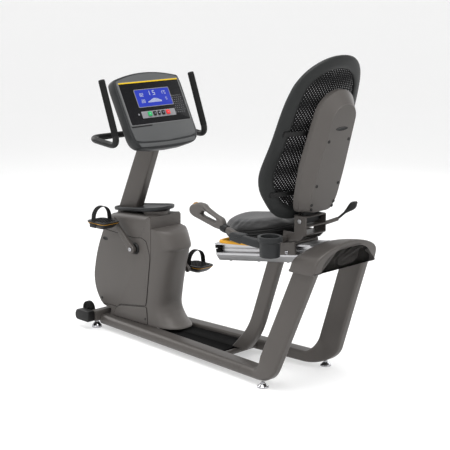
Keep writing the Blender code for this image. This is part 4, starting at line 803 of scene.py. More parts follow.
for side, tag in SIDES:
    heads = [screw((x, side * 0.1008, z), (0, side, 0), 0.0062) for x, z in ((0.7020, 0.1450), (0.3800, 0.1000))]
    piece(f"shroud_screws_{tag}", joined(*heads), BLACK, body="frame", slot="black_plastic", sharp=30)

# %% [markdown]
# ## Spine cover
# The rear cover is a half superellipse at every height, |cos|^0.78 deep and |sin|^0.78 wide. Its depth is read
# from a smooth profile: a bulge above, a ledge, a straight shaft, and a flared foot.

# %% Spine
spine_profile = np.array([
    (0.0722, 0.200, 0.0990), (0.0790, 0.2035, 0.0988), (0.0860, 0.215, 0.0985), (0.0980, 0.234, 0.0980),
    (0.1250, 0.262, 0.0975), (0.1600, 0.2765, 0.0970), (0.2250, 0.269, 0.0970), (0.3350, 0.250, 0.0970),
    (0.4200, 0.229, 0.0970), (0.4420, 0.2245, 0.0970), (0.4500, 0.2200, 0.0970), (0.4560, 0.2130, 0.0970),
    (0.4640, 0.2115, 0.0970), (0.4750, 0.2135, 0.0970), (0.5100, 0.228, 0.0970), (0.5500, 0.244, 0.0970),
    (0.5780, 0.2580, 0.0960), (0.5920, 0.2710, 0.0940), (0.6000, 0.2860, 0.0900), (0.6025, 0.3000, 0.0800)])
profile = through(spine_profile, 150)
angles = np.linspace(-math.pi / 2, math.pi / 2, 49)
c = np.abs(np.cos(angles)) ** 0.78
s = np.sign(np.sin(angles)) * np.abs(np.sin(angles)) ** 0.78
rings = []
for z, reach, half in profile:
    front = float(seam_x(z)) - 0.0004
    tries = np.linspace(0.004, 0.200, 400)
    best = (tries[:, None] * np.abs(np.cos(angles)) ** 1.78 + half * np.abs(np.sin(angles)) ** 1.78).max(1)
    depth = float(np.interp(front - reach, best, tries))
    outer = np.stack((front - depth * c, half * s, np.full(len(s), z)), -1)
    back = np.array([(front + 0.0001, half * 0.98, z), (front + 0.0001, -half * 0.98, z)])
    rings.append(np.concatenate((outer, back)))
piece("spine_cover", skin(rings), SHROUD, "shroud_spine", sharp=40)

# %% [markdown]
# ## Mast and accessory tray
# The mast is a leaning rounded box section. The tray wraps its foot: a flat dish, round behind, with a rolled
# rim around a sunk floor.

# %% Mast and tray
MAST_LEAN, MAST_X, MAST_Z, MAST_T = 0.438, 0.477, 0.860, 0.048


def mast_ring(z):
    flat = rounded(0.1200 + 0.05 * (MAST_Z - z), MAST_T, 0.011, 8)
    return np.stack((MAST_X - MAST_LEAN * (z - MAST_Z) + flat[:, 0], flat[:, 1], np.full(len(flat), z)), -1)


piece("mast_tube", skin([mast_ring(z) for z in np.linspace(0.560, 0.960, 9)]), PAINT, "console_mast", sharp=50)
a = np.linspace(math.pi / 2, 3 * math.pi / 2, 41)
tray_line = np.concatenate((np.stack((0.4050 + 0.088 * np.cos(a), 0.088 * np.sin(a)), -1),
                            [(0.5600, -0.080), (0.6400, -0.064), (0.6620, -0.040), (0.6620, 0.040), (0.6400, 0.064),
                             (0.5600, 0.080)]))
tray_line = even(soften(tray_line, 0.012, 3), 160)
rows = [(0.012, -0.0185), (0.004, -0.0165), (0.0008, -0.0120), (0.0, -0.0060), (0.0, -0.0030), (0.0012, -0.0008),
        (0.0030, 0.0), (0.0060, 0.0), (0.0078, -0.0010), (0.0095, -0.0050), (0.0120, -0.0062)]
tray_rings = []
for draw, drop in rows:
    line = inset(tray_line, draw)
    z = 0.6190 + 0.120 * (0.5600 - line[:, 0]) + drop
    tray_rings.append(np.stack((line[:, 0], line[:, 1], z), -1))
piece("tray_dish", skin(tray_rings), DARK_GREY, "accessory_tray", sharp=60)
neck = circle(0.062, 48) + (0.4020, 0.0)
piece("tray_neck", skin([lift(neck, "XY", 0.600), lift(neck * (1.0, 1.06), "XY", 0.6215)]), SHROUD, body="frame",
      slot="shroud_plastic", sharp=50)
print("housing made")

# %% [markdown]
# ## Cranks
# A forged arm swells around the axle and tapers to the pedal. Its rings are rounded rectangles strung along the
# arm; a chrome bolt sits in the axle end.

# %% Crank arms and bolts
CRANK_C, CRANK_LENGTH, CRANK_Y, CRANK_ANGLE = np.array([0.4455, 0.4385]), 0.170, 0.1235, math.radians(44.8)
ARM = through([(-0.0225, 0.0060, 0.012, 0.0), (-0.0200, 0.0120, 0.018, 0.0), (-0.0130, 0.0178, 0.0215, 0.0),
               (0.0, 0.0200, 0.022, 0.0), (0.030, 0.0175, 0.021, 0.0010), (0.085, 0.0150, 0.019, 0.0020),
               (0.140, 0.0135, 0.018, 0.0030), (0.162, 0.0145, 0.018, 0.0035), (0.178, 0.0130, 0.017, 0.0035),
               (0.1845, 0.0095, 0.014, 0.0035), (0.1860, 0.0060, 0.010, 0.0035)], 70)
for side, tag in SIDES:
    angle = CRANK_ANGLE if side > 0 else CRANK_ANGLE + math.pi
    u = np.array([math.cos(angle), math.sin(angle)])
    n = np.array([-u[1], u[0]])
    rings = []
    for at, half, thick, out in ARM:
        flat = rounded(2 * half, thick, min(0.0050, thick * 0.35, half * 0.6), 5)
        xz = CRANK_C + u * at + n * flat[:, :1]
        rings.append(np.stack((xz[:, 0], side * (CRANK_Y + out + flat[:, 1]), xz[:, 1]), -1))
    end = CRANK_C + u * CRANK_LENGTH
    spindle = tube([(end[0], side * (CRANK_Y + 0.006), end[1]), (end[0], side * (CRANK_Y + 0.030), end[1])], 0.0085,
                   24)
    piece(f"arm_{tag}", joined(skin(rings), spindle), PAINT, f"crank_arm_{tag}", sharp=40)
    bolt_profile = [(0.0, 0.0012), (0.0036, 0.0012), (0.0042, 0.0036), (0.0085, 0.0034), (0.0098, 0.0020),
                    (0.0100, -0.001), (0.0, -0.001)]
    bolt_profile = np.array(bolt_profile) * (1, side)
    piece(f"crank_bolt_{tag}", turned(bolt_profile, (CRANK_C[0], side * (CRANK_Y + 0.0112), CRANK_C[1]), "Y", 36),
          CHROME,
          body="crank", slot="chrome", sharp=30)
    disc = [(0.0, 0.0), (0.0285, 0.0), (0.0290, 0.0030), (0.0240, 0.0100), (0.0, 0.0100)]
    disc = np.array(disc) * (1, side)
    piece(f"axle_boss_{tag}", turned(disc, (CRANK_C[0], side * 0.1000, CRANK_C[1]), "Y", 48), BLACK, body="crank",
          slot="black_plastic", sharp=40)

# %% [markdown]
# ## Pedals
# Each pedal is a boat-shaped block: rounded rectangles that grow upwards to a rim, with an amber line under the
# rim and rows of small studs on top. A ribbed strap arches over it.

# %% Pedal bodies, rims, studs and straps
PEDAL_Y = 0.196
STAIR = through([(-0.0230, 0.050, 0.052), (-0.0226, 0.066, 0.064), (-0.0185, 0.084, 0.080), (-0.0080, 0.110, 0.096),
                 (0.0020, 0.128, 0.103), (0.0075, 0.1370, 0.1070), (0.0100, 0.1376, 0.1076), (0.0120, 0.1350, 0.1050),
                 (0.0126, 0.1280, 0.0980)], 30)
for side, tag in SIDES:
    angle = CRANK_ANGLE if side > 0 else CRANK_ANGLE + math.pi
    cx = CRANK_C[0] + CRANK_LENGTH * math.cos(angle)
    cz = CRANK_C[1] + CRANK_LENGTH * math.sin(angle)
    centre = np.array([cx, side * PEDAL_Y, cz])
    rings = [lift(rounded(length, width, min(length, width) * 0.24, 8) + centre[:2], "XY", cz + up) for up, length,
             width in STAIR]
    piece(f"pedal_body_{tag}", skin(rings), BLACK, f"pedal_{tag}", sharp=40)
    band = []
    for up, grow in ((0.0030, 0.0), (0.0034, 0.0007), (0.0052, 0.0007), (0.0056, 0.0)):
        length = np.interp(up, STAIR[:, 0], STAIR[:, 1]) + 2 * grow
        width = np.interp(up, STAIR[:, 0], STAIR[:, 2]) + 2 * grow
        band.append(lift(rounded(length, width, min(length, width) * 0.24, 8) + centre[:2], "XY", cz + up))
    middle = band[0].mean(0)
    inner = [middle + (ring - middle) * (0.97, 0.97, 1.0) + (0, 0, shift) for ring,
             shift in ((band[-1], 0.0), (band[0], 0.0))]
    piece(f"pedal_rim_{tag}", hoop(band + inner), AMBER, body=home[f"pedal_{tag}"], slot="amber", sharp=40)
    gx, gy = np.meshgrid(np.linspace(-0.050, 0.050, 11), np.linspace(-0.036, 0.036, 8))
    keep = np.hypot(gx / 0.062, gy / 0.048) < 1.0
    stud = []
    for x, y in zip(gx[keep], gy[keep]):
        stud.append(skin([lift(circle(r, 8) + (centre[0] + x, centre[1] + y), "XY", cz + h)
                          for r, h in ((0.0034, 0.0124), (0.0030, 0.0140), (0.0018, 0.0144))]))
    piece(f"pedal_studs_{tag}", joined(*stud), RUBBER, body=home[f"pedal_{tag}"], slot="rubber", sharp=40)
    turn = np.linspace(0, math.pi, 33)
    arch_y = np.concatenate(([0.0515, 0.0505], 0.0480 * np.cos(turn), [-0.0505, -0.0515]))
    arch_z = np.concatenate(([-0.0080, 0.0120], 0.0300 + 0.0505 * np.sin(turn), [0.0120, -0.0080]))
    path = np.stack((np.full(len(arch_y), cx + 0.012), centre[1] + arch_y, cz + arch_z), -1)
    strap_section = rounded(0.0024, 0.030, 0.0010, 2)
    piece(f"foot_strap_{tag}", sweep(path, strap_section, (1.0, 0.0, 0.0)), RUBBER, f"pedal_strap_{tag}", sharp=50)
    buckle = plate(soften(np.array([(-0.010, -0.016), (0.034, -0.016), (0.034, 0.004), (-0.010, 0.004)]) + (cx, cz),
                          0.003, 3),
                   "XZ", *sorted((centre[1] + side * 0.0525, centre[1] + side * 0.0560)), 0.0010, 2)
    piece(f"strap_buckle_{tag}", buckle, BLACK, body=home[f"pedal_{tag}"], slot="black_plastic", sharp=40)
print("cranks and pedals made")

# %% [markdown]
# ## Console
# The console is a moulded box that faces the rider. Its outline is drawn on the tilted face and carried back in
# rings: a rolled front edge, full sides, then a smaller closed back. All its details use face coordinates:
# u to the rider's right, v up the face, w out of it.

# %% Face coordinates
FACE_TILT = math.radians(27.28)
FACE_O = np.array([0.361, 1.043])
PANEL_HALF, PANEL_H = 0.1845, 0.2085


def on_face(u, v, w):
    """Point on the console: across the face, up along it and out of it."""
    u, v, w = np.broadcast_arrays(np.asarray(u, float), np.asarray(v, float), np.asarray(w, float))
    x = FACE_O[0] + v * math.sin(FACE_TILT) - w * math.cos(FACE_TILT)
    z = FACE_O[1] + v * math.cos(FACE_TILT) + w * math.sin(FACE_TILT)
    return np.stack((x, -u, z), -1)


def face_ring(flat, w):
    return on_face(flat[:, 0], flat[:, 1], w)


def face_plate(outline, low, high, edge=0.0008, steps=3):
    """Flat plate on the console's face with a rolled front edge."""
    turn = np.linspace(0, math.pi / 2, steps + 1)
    rows = [(0.0, low)] + [(edge * (1 - math.cos(a)), high - edge * (1 - math.sin(a))) for a in turn]
    return skin([face_ring(inset(outline, draw), w) for draw, w in rows])


def rectangle(u, v, width, height, radius=0.002):
    return rounded(width, height, radius, 4) + (u, v)


# %% Housing, hood and lower face
t = np.linspace(-1, 1, 41)
hood = np.stack((0.2020 * t, 0.2570 - 0.0290 * t * t), -1)
right_edge = [(0.2080, 0.1900), (0.2062, 0.0300), (0.2060, -0.0560), (0.1960, -0.0900), (0.1700, -0.1110),
              (0.0850, -0.1230)]
console_line = np.concatenate((hood, right_edge, [(0.0, -0.1260)], [(-u, v) for u, v in right_edge[::-1]]))
console_line = even(soften(console_line, 0.012, 4), 200)
rows = [(0.030, 0.0002), (0.0085, 0.0), (0.0035, -0.0012), (0.0010, -0.0040), (0.0, -0.0090), (0.0006, -0.0300),
        (0.0030, -0.0450),
        (0.0080, -0.0560), (0.0160, -0.0650)]
shell_rings = [face_ring(inset(console_line, draw), w) for draw, w in rows]
core, last_line = np.array([0.0, 0.070]), inset(console_line, 0.0160)
for grow, w in ((0.94, -0.0715), (0.87, -0.0765), (0.78, -0.0798), (0.66, -0.0815), (0.50, -0.0820),
                (0.30, -0.0820), (0.10, -0.0820)):
    shell_rings.append(face_ring(core + (last_line - core) * grow, w))
piece("console_shell", skin(shell_rings), DARK_GREY, "console_housing", sharp=60)
face_line = np.concatenate((hood * (0.955, 1.0) - (0, 0.0085), [(0.1960, 0.1900), (0.1945, -0.0010)]))
face_line = np.concatenate((face_line, [(0.1950, -0.0120), (0.1880, -0.0740), (0.1500, -0.0830), (0.0, -0.0900)],
                            [(-0.1500, -0.0830), (-0.1880, -0.0740), (-0.1950, -0.0120), (-0.1945, -0.0010),
                             (-0.1960, 0.1900)]))
face_line = even(soften(face_line, 0.006, 3), 220)
piece("console_face", face_plate(face_line, -0.002, 0.0022, 0.0018), HOUSING_GREY, body="frame", slot="dark_grey",
      sharp=50)
chin = np.stack((np.linspace(-0.178, 0.178, 31), -0.0960 + 0.0080 * (np.linspace(-1, 1, 31) ** 2)), -1)
chin_low = np.stack((np.linspace(0.168, -0.168, 31), -0.1130 + 0.0060 * (np.linspace(-1, 1, 31) ** 2)), -1)
piece("console_chin", face_plate(even(np.concatenate((chin, chin_low)), 120), -0.004, 0.0014, 0.0012), HOUSING_GREY,
      body="frame", slot="dark_grey", sharp=50)

# %% [markdown]
# ## Panel, screen and keys
# A gloss black panel carries a blue screen with a thin light frame, a grey strip of five keys, a yellow line
# along its top, a socket for a plug and a field of small sound holes. Digits are drawn as seven bars each.

# %% Panel and frame of the screen
piece("front_panel", face_plate(rectangle(0, PANEL_H / 2, 2 * PANEL_HALF, PANEL_H, 0.004), 0.001, 0.0038, 0.0008),
      GLASS_BLACK, "console_panel", sharp=50)
rim_out = even(rectangle(0, PANEL_H / 2, 2 * PANEL_HALF + 0.0110, PANEL_H + 0.0090, 0.006), 160)
rim_in = even(rectangle(0, PANEL_H / 2, 2 * PANEL_HALF + 0.0010, PANEL_H + 0.0008, 0.004), 160)
rim_rows = ((rim_in, 0.0010), (rim_out, 0.0010), (rim_out, 0.0030), (rim_out * 0.3 + rim_in * 0.7, 0.0042),
            (rim_in, 0.0042))
piece("panel_rim", hoop([face_ring(line, w) for line, w in rim_rows]), TRIM_GREY, body="frame", slot="dark_grey",
      sharp=40)
piece("panel_line", face_plate(rectangle(0, 0.2065, 2 * PANEL_HALF - 0.001, 0.0062, 0.0008), 0.0030, 0.0048, 0.0004),
      YELLOW, body="frame", slot="amber", sharp=50)
SCREEN_V = 0.1250
outer = even(rectangle(0, SCREEN_V, 0.2180, 0.0900, 0.003), 96)
inner = even(rectangle(0, SCREEN_V, 0.2130, 0.0850, 0.002), 96)
bezel = [face_ring(outer, 0.0034), face_ring(outer, 0.0058), face_ring(inner, 0.0058), face_ring(inner, 0.0034)]
piece("screen_frame", hoop(bezel), KEY_STRIP, body="frame", slot="dark_grey", sharp=30)
screen = Graph("screen", 0.40, Specular_IOR_Level=0.1)
glow = screen.noise(14.0, 1.0)
screen.set("Base Color", screen.mix(glow, rgb(0.014, 0.024, 0.20), rgb(0.018, 0.032, 0.25)))
screen.set("Emission Color", screen.mix(glow, rgb(0.020, 0.035, 0.55), rgb(0.028, 0.050, 0.70)))
screen.shader.inputs["Emission Strength"].default_value = 0.22
piece("screen_glass", face_plate(rectangle(0, SCREEN_V, 0.2130, 0.0850, 0.002), 0.0030, 0.0050, 0.0004),
      screen.material, "console_display", sharp=50)

# %% Digits and bars on the screen
SEGMENTS = {"top": (0.0, 1.0, 1.0, 0.0), "middle": (0.0, 0.0, 1.0, 0.0), "bottom": (0.0, -1.0, 1.0, 0.0),
            "left_high": (-0.5, 0.5, 0.0, 1.0), "right_high": (0.5, 0.5, 0.0, 1.0),
            "left_low": (-0.5, -0.5, 0.0, 1.0), "right_low": (0.5, -0.5, 0.0, 1.0)}
LIT = {0: "top bottom left_high right_high left_low right_low", 1: "right_high right_low",
       2: "top middle bottom right_high left_low", 5: "top middle bottom left_high right_low",
       7: "top right_high right_low", 8: "top middle bottom left_high right_high left_low right_low"}


def digit(value, u, v, height):
    """Seven-bar figure about (u, v): each lit bar is a small flat block."""
    half = height / 2
    bars = []
    for name in LIT[value].split():
        du, dv, wide, tall = SEGMENTS[name]
        size = (0.50 * height * wide + 0.14 * height, 0.40 * height * tall + 0.14 * height)
        line = rectangle(u - du * half * 1.05, v + dv * half * 0.92, size[0], size[1], 0.0002)
        bars.append(skin([face_ring(line, 0.0048), face_ring(line, 0.0056)]))
    return joined(*bars)


figures = []
for value, u, v, height in ((1, -0.0120, 0.1480, 0.0220), (2, 0.0080, 0.1480, 0.0220), (8, -0.0760, 0.1420, 0.0150),
                            (5, -0.0640, 0.1420, 0.0150), (7, 0.0640, 0.1450, 0.0150), (2, 0.0760, 0.1450, 0.0150),
                            (5, -0.0760, 0.1100, 0.0150), (8, -0.0640, 0.1100, 0.0150), (2, 0.0760, 0.1140, 0.0130)):
    figures.append(digit(value, u, v, height))
for k in range(12):
    u = -0.0390 + 0.0072 * k
    tall = 0.0040 + 0.0160 * math.sin(math.pi * (k + 1.5) / 15) ** 2
    line = rectangle(u, 0.1010 + tall / 2, 0.0050, tall, 0.0003)
    figures.append(skin([face_ring(line, 0.0048), face_ring(line, 0.0056)]))
piece("screen_figures", joined(*figures), CLEAR_WHITE, body="frame", slot="screen", sharp=30)

# %% Keys, strip, socket, slot and sound holes
piece("key_strip", face_plate(rectangle(0, 0.0440, 0.2100, 0.0340, 0.002), 0.0030, 0.0046, 0.0006), KEY_STRIP,
      body="frame", slot="dark_grey", sharp=50)
KEYS = {"start": (-0.0575, KEY_GREEN, 0.0230), "down": (-0.0270, BLACK, 0.0185), "enter": (-0.0005, BLACK, 0.0150),
        "up": (0.0260, BLACK, 0.0185), "stop": (0.0565, KEY_RED, 0.0230)}
for name, (u, finish, size) in KEYS.items():
    crown = face_plate(rectangle(u, 0.0455, size, 0.0215, 0.0035), 0.0063, 0.0094, 0.0012, 4)
    mark = joined(*[skin([face_ring(rectangle(u, 0.0455, a, b, 0.0008), w) for w in (0.0090, 0.0097)])
                    for a, b in ((0.0070, 0.0018), (0.0018, 0.0060))[:1 + (name in ("start", "enter"))]])
    piece(f"{name}_key_cap", crown, finish, f"key_{name}", sharp=50)
    piece(f"{name}_key_mark", mark, CLEAR_WHITE, body=f"key_{name}", slot=slot_of[f"key_{name}"], sharp=30)
holes = []
for row in range(9):
    for column in range(5):
        u = 0.1120 + 0.0130 * column + 0.0065 * (row % 2)
        v = 0.0400 + 0.0105 * row
        if u < 0.176:
            holes.append(skin([face_ring(circle(0.0021, 10) + (u, v), w) for w in (0.0034, 0.0040)]))
piece("sound_holes", joined(*holes), KEY_STRIP, body="frame", slot="black_plastic", sharp=30)
jack = [face_ring(circle(r, 24) + (-0.1230, 0.0480), w) for r,
        w in ((0.0048, 0.0034), (0.0048, 0.0050), (0.0026, 0.0050), (0.0024, 0.0040))]
piece("plug_socket", skin(jack), KEY_STRIP, body="frame", slot="dark_grey", sharp=40)
slot_line = soften(np.array([(-0.1900, -0.0060), (-0.0600, -0.0060), (-0.0640, -0.0125), (-0.1880, -0.0125)]),
                   0.003, 4)
piece("face_slot", face_plate(slot_line, 0.0010, 0.0027, 0.0004), BLACK, body="frame", slot="black_plastic", sharp=40)

# %% [markdown]
# ## Console handlebar
# One steel tube runs under the console and up both sides. Soft grips cover its uprights, a little thicker
# than the tube, with a domed end.

# %% Tube and grips
bar_left = [(0.4560, 0.2800, 1.2520), (0.3470, 0.2800, 0.9560), (0.5480, 0.2800, 0.9760)]
bar_line = soft_path(bar_left + [(x, -y, z) for x, y, z in bar_left[::-1]], 0.058, 12)
piece("console_bar", tube(bar_line, 0.0150, 24), BLACK, "console_handlebar", sharp=40)
for side, tag in SIDES:
    top, foot = np.array([0.4560, side * 0.2800, 1.2510]), np.array([0.3640, side * 0.2800, 1.0010])
    share = np.concatenate(([0.0, 0.004, 0.012, 0.024], np.linspace(0.05, 0.97, 12), [0.985, 1.0]))
    path = top + (foot - top) * share[:, None]
    radius = np.interp(share, [0, 0.004, 0.012, 0.024, 0.97, 0.985, 1.0],
                       [0.0090, 0.0126, 0.0148, 0.0155, 0.0155, 0.0153, 0.0149])
    piece(f"bar_grip_{tag}", tube(path, radius, 28, False), RUBBER, body="frame", slot="rubber", sharp=50)
print("console made")

# %% [markdown]
# ## Seat
# The seat is a narrow-nosed superellipse in plan. Its black pan is a stack of those outlines; the padded top is
# blown up by cloth simulation from a slightly small blank, so that it crowns between its edges.
# Its movement is capped and the result is smoothed, so the cap sets much of the shape.

# %% Seat outline and pan
SLOPE = math.tan(SLIDE_TILT)
SEAT_MIDDLE = -0.300
a = np.arange(144) * 2 * math.pi / 144
reach = np.where(np.cos(a) > 0, 0.192, 0.168)
seat_x = SEAT_MIDDLE + reach * np.sign(np.cos(a)) * np.abs(np.cos(a)) ** 0.80
broad = 0.190 - 0.085 * smooth((seat_x + 0.330) / 0.230)
seat_line = even(np.stack((seat_x, broad * np.sign(np.sin(a)) * np.abs(np.sin(a)) ** 0.72), -1), 144)


def seat_ring(z, grow):
    """Seat outline scaled about its middle and laid parallel to the rail at a height."""
    x = SEAT_MIDDLE + (seat_line[:, 0] - SEAT_MIDDLE) * grow
    return np.stack((x, seat_line[:, 1] * grow, z - SLOPE * (x - SEAT_MIDDLE)), -1)


pan_rows = through([(0.6032, 0.80), (0.6034, 0.85), (0.6060, 0.885), (0.6150, 0.950), (0.6230, 0.980),
                    (0.6280, 0.985),
                    (0.6300, 0.965), (0.6320, 0.985), (0.6380, 0.998), (0.6430, 0.995), (0.6450, 0.975)], 40)
piece("pan_shell", skin([seat_ring(z, g) for z, g in pan_rows]), BLACK, "seat_pan", sharp=60)

# %% Padded vinyl
vinyl = Graph("seat_vinyl", 0.55, Specular_IOR_Level=0.25)
tone = vinyl.noise(9.0, 3.0)
spot = vinyl.node("ShaderNodeSeparateXYZ", None, {0: vinyl.node("ShaderNodeTexCoord", output="Object")})
lie = Wire(vinyl, spot.socket.node.outputs[2]) + Wire(vinyl, spot.socket.node.outputs[0]) * SLOPE
crown = vinyl.node("ShaderNodeMapRange", None, {"Value": lie, "From Min": 0.6830 + SEAT_MIDDLE * SLOPE,
                                                "From Max": 0.6900 + SEAT_MIDDLE * SLOPE})
top_tone = vinyl.mix(tone, rgb(0.040, 0.040, 0.041), rgb(0.050, 0.050, 0.052))
vinyl.set("Base Color", vinyl.mix(crown, rgb(0.006, 0.006, 0.006), top_tone))
pebble = vinyl.node("ShaderNodeTexVoronoi", {"feature": "DISTANCE_TO_EDGE"},
                    {"Vector": vinyl.place(), "Scale": 420.0})
vinyl.set("Roughness", 0.46 + 0.14 * tone)
vinyl.bump(pebble, 0.35, 0.0005)
vinyl.shader.inputs["Sheen Weight"].default_value = 0.10

# %% Cushion blank and its simulation
blank_rows = through([(0.6456, 0.960), (0.6480, 0.985), (0.6560, 1.0), (0.6660, 0.992), (0.6745, 0.965),
                      (0.6800, 0.90),
                      (0.6850, 0.74), (0.6870, 0.50), (0.6875, 0.20)], 40)
blank = [seat_ring(z, g) for z, g in blank_rows]
for ring, (z, g) in zip(blank, blank_rows):
    ring[:, 2] += 0.014 * smooth((z - 0.660) / 0.024) * np.exp(-((ring[:, 0] + 0.210) / 0.085) ** 2 -
                                                               (ring[:, 1] / 0.085) ** 2)
cushion = piece("seat_padding", skin(blank), vinyl.material, "seat_cushion", sharp=180)


def puff(obj, voxel, pressure, cap):
    """Remeshes a blank, inflates it as cloth with its underside held, caps each point's movement and smooths it."""
    work = obj.copy()
    work.data = obj.data.copy()
    work.parent = None
    bpy.context.scene.collection.objects.link(work)
    remesh = work.modifiers.new("voxels", "REMESH")
    remesh.mode = "VOXEL"
    remesh.voxel_size = voxel
    bpy.context.view_layer.update()
    even_mesh = bpy.data.meshes.new_from_object(work.evaluated_get(bpy.context.evaluated_depsgraph_get()))
    work.modifiers.clear()
    work.data = even_mesh
    start = np.empty(len(even_mesh.vertices) * 3)
    even_mesh.vertices.foreach_get("co", start)
    start = start.reshape(-1, 3)
    level = start[:, 2] + SLOPE * (start[:, 0] - SEAT_MIDDLE)
    held = work.vertex_groups.new(name="held")
    held.add(np.nonzero(level < 0.6540)[0].tolist(), 1.0, "REPLACE")
    cloth = work.modifiers.new("cloth", "CLOTH")
    cloth.settings.use_pressure = True
    cloth.settings.uniform_pressure_force = pressure
    cloth.settings.effector_weights.gravity = 0.0
    cloth.settings.vertex_group_mass = "held"
    cloth.settings.tension_stiffness = 12.0
    cloth.point_cache.frame_end = 20
    for step in range(1, 21):
        bpy.context.scene.frame_set(step)
    seen = bpy.data.meshes.new_from_object(work.evaluated_get(bpy.context.evaluated_depsgraph_get()))
    moved = np.empty(len(seen.vertices) * 3)
    seen.vertices.foreach_get("co", moved)
    shift = moved.reshape(-1, 3) - start
    far = np.linalg.norm(shift, axis=1, keepdims=True)
    settled = start + shift * np.minimum(1.0, cap / np.maximum(far, 1e-9))
    work.modifiers.clear()
    bpy.context.scene.frame_set(1)
    even_mesh.vertices.foreach_set("co", settled.ravel())
    fairing = bmesh.new()
    fairing.from_mesh(even_mesh)
    for _ in range(9):
        bmesh.ops.smooth_vert(fairing, verts=fairing.verts, factor=0.5, use_axis_x=True, use_axis_y=True,
                              use_axis_z=True)
    fairing.to_mesh(even_mesh)
    fairing.free()
    even_mesh.update()
    bpy.data.objects.remove(work)
    return even_mesh, float(far.max())


blown, most = puff(cushion, 0.005, 4.0, 0.009)
cushion.data = blown
blown.shade_smooth()
if not blown.materials:
    blown.materials.append(vinyl.material)
print("cushion points", len(blown.vertices), "moved at most", round(most, 4))
fine = cushion.modifiers.new("fine", "SUBSURF")
fine.levels = fine.render_levels = 1
piping = seat_ring(0.6475, 1.004)
piece("seat_piping", sweep(np.concatenate((piping, piping[:2])), circle(0.0028, 10), (0, 0, 1), True), BLACK,
      body="seat", slot="black_plastic", sharp=60)

# %% [markdown]
# ## Seat handlebar, grips and controls
# A tube wraps the rear of the seat and comes forward on both sides. Each grip is a plate with a long finger
# slot and fat rolled edges, with a round control on its front pod.

# %% Handlebar and grips
GRIP_Y = 0.2360
half_bar = [(-0.2500, GRIP_Y, 0.6830), (-0.4150, GRIP_Y, 0.6390), (-0.4900, 0.1900, 0.6315)]
seat_bar = soft_path(half_bar + [(x, -y, z) for x, y, z in half_bar[::-1]], 0.055, 10)
piece("seat_bar", tube(seat_bar, 0.0138, 24), PAINT, "seat_handlebar", sharp=40)
grip_outer = np.array([(-0.2890, 0.6640), (-0.2500, 0.6650), (-0.1080, 0.6990), (-0.0880, 0.7110), (-0.0850, 0.7330),
                       (-0.0980, 0.7480), (-0.1340, 0.7620), (-0.1740, 0.7600), (-0.1920, 0.7450), (-0.2440, 0.7230),
                       (-0.2830, 0.7120), (-0.2950, 0.6900)])
grip_hole = np.array([(-0.2500, 0.6900), (-0.1650, 0.7080), (-0.1530, 0.7150), (-0.1660, 0.7290), (-0.1900, 0.7290),
                      (-0.2530, 0.7060)])
tilt = math.radians(21)
for side, tag in SIDES:
    y = side * GRIP_Y
    shape = ring_plate(soften(grip_outer, 0.010, 6), soften(grip_hole, 0.006, 5), "XZ", y - 0.0162, y + 0.0162,
                       0.0085, 6, 140)
    piece(f"grip_frame_{tag}", shape, SHROUD, f"hand_grip_{tag}", sharp=50)
    start, end = np.array([-0.2800, y, 0.6750]), np.array([-0.3080, y, 0.6675])
    path = start + (end - start) * np.linspace(0, 1, 5)[:, None]
    piece(f"grip_collar_{tag}", tube(path, [0.0185, 0.0190, 0.0190, 0.0185, 0.0172], 28), BLACK, body="seat",
          slot="black_plastic", sharp=40)
    axis = np.array([math.sin(tilt), 0.0, math.cos(tilt)])
    spin = np.array(Vector(axis).to_track_quat("Z", "Y").to_matrix())
    seat_at = np.array([-0.1150, y, 0.7546])
    ring_points, ring_faces = turned([(0.0100, -0.0010), (0.0118, 0.0), (0.0118, 0.0012), (0.0106, 0.0022),
                                      (0.0092, 0.0018),
                                      (0.0086, 0.0), (0.0100, -0.0010)], (0, 0, 0), "Z", 36)
    piece(f"control_ring_{tag}", (ring_points @ spin.T + seat_at, ring_faces), AMBER, body="seat", slot="amber",
          sharp=40)
    dome_points, dome_faces = turned([(0.0, 0.0024), (0.0074, 0.0024), (0.0078, 0.0036), (0.0068, 0.0050),
                                      (0.0040, 0.0056),
                                      (0.0, 0.0057)], (0, 0, 0), "Z", 32)
    piece(f"control_button_{tag}", (dome_points @ spin.T + seat_at, dome_faces), KEY_STRIP, f"grip_button_{tag}",
          sharp=40)

# %% Cup holder and adjust bar
CUP = np.array([-0.5560, 0.2360, 0.5920])
cup_profile = through([(0.0400, 0.0850), (0.0430, 0.0862), (0.0500, 0.0858), (0.0520, 0.0835), (0.0520, 0.0690),
                       (0.0510, 0.0655), (0.0452, 0.0610), (0.0440, 0.0560), (0.0425, 0.0050), (0.0405, 0.0008),
                       (0.0360, 0.0)], 60)
cup_profile = np.concatenate(([(0.0, 0.0040), (0.0370, 0.0042), (0.0388, 0.0070)], cup_profile, [(0.0, 0.0)]))
arm = [(-0.3570, CUP[1] + 0.0120, 0.6495), (-0.4100, CUP[1] + 0.0120, 0.6450), (-0.4700, CUP[1] + 0.0110, 0.6400),
       (-0.5180, CUP[1] + 0.0060, 0.6375)]
arm_shape = sweep(through(arm, 16), rounded(0.0300, 0.0340, 0.0075, 6))
clip = soften(np.array([(-0.3440, 0.6640), (-0.3440, 0.6320), (-0.4080, 0.6230), (-0.4200, 0.6640)]), 0.008, 5)
clip_shape = plate(clip, "XZ", CUP[1] - 0.0165, CUP[1] + 0.0275, 0.0050, 4)
piece("cup_ring", joined(turned(cup_profile, CUP, "Z", 64), arm_shape, clip_shape), DARK_GREY, "cup_holder", sharp=50)
bar_pts = [(-0.3600, 0.0960, 0.6020), (-0.3300, 0.0960, 0.5830), (-0.1100, 0.0960, 0.5615)]
bar_loop = soft_path(bar_pts + [(x, -y, z) for x, y, z in bar_pts[::-1]], 0.040, 10)
piece("yellow_bar", tube(bar_loop, 0.0079, 24), AMBER, "adjust_bar", sharp=40)
print("seat made")

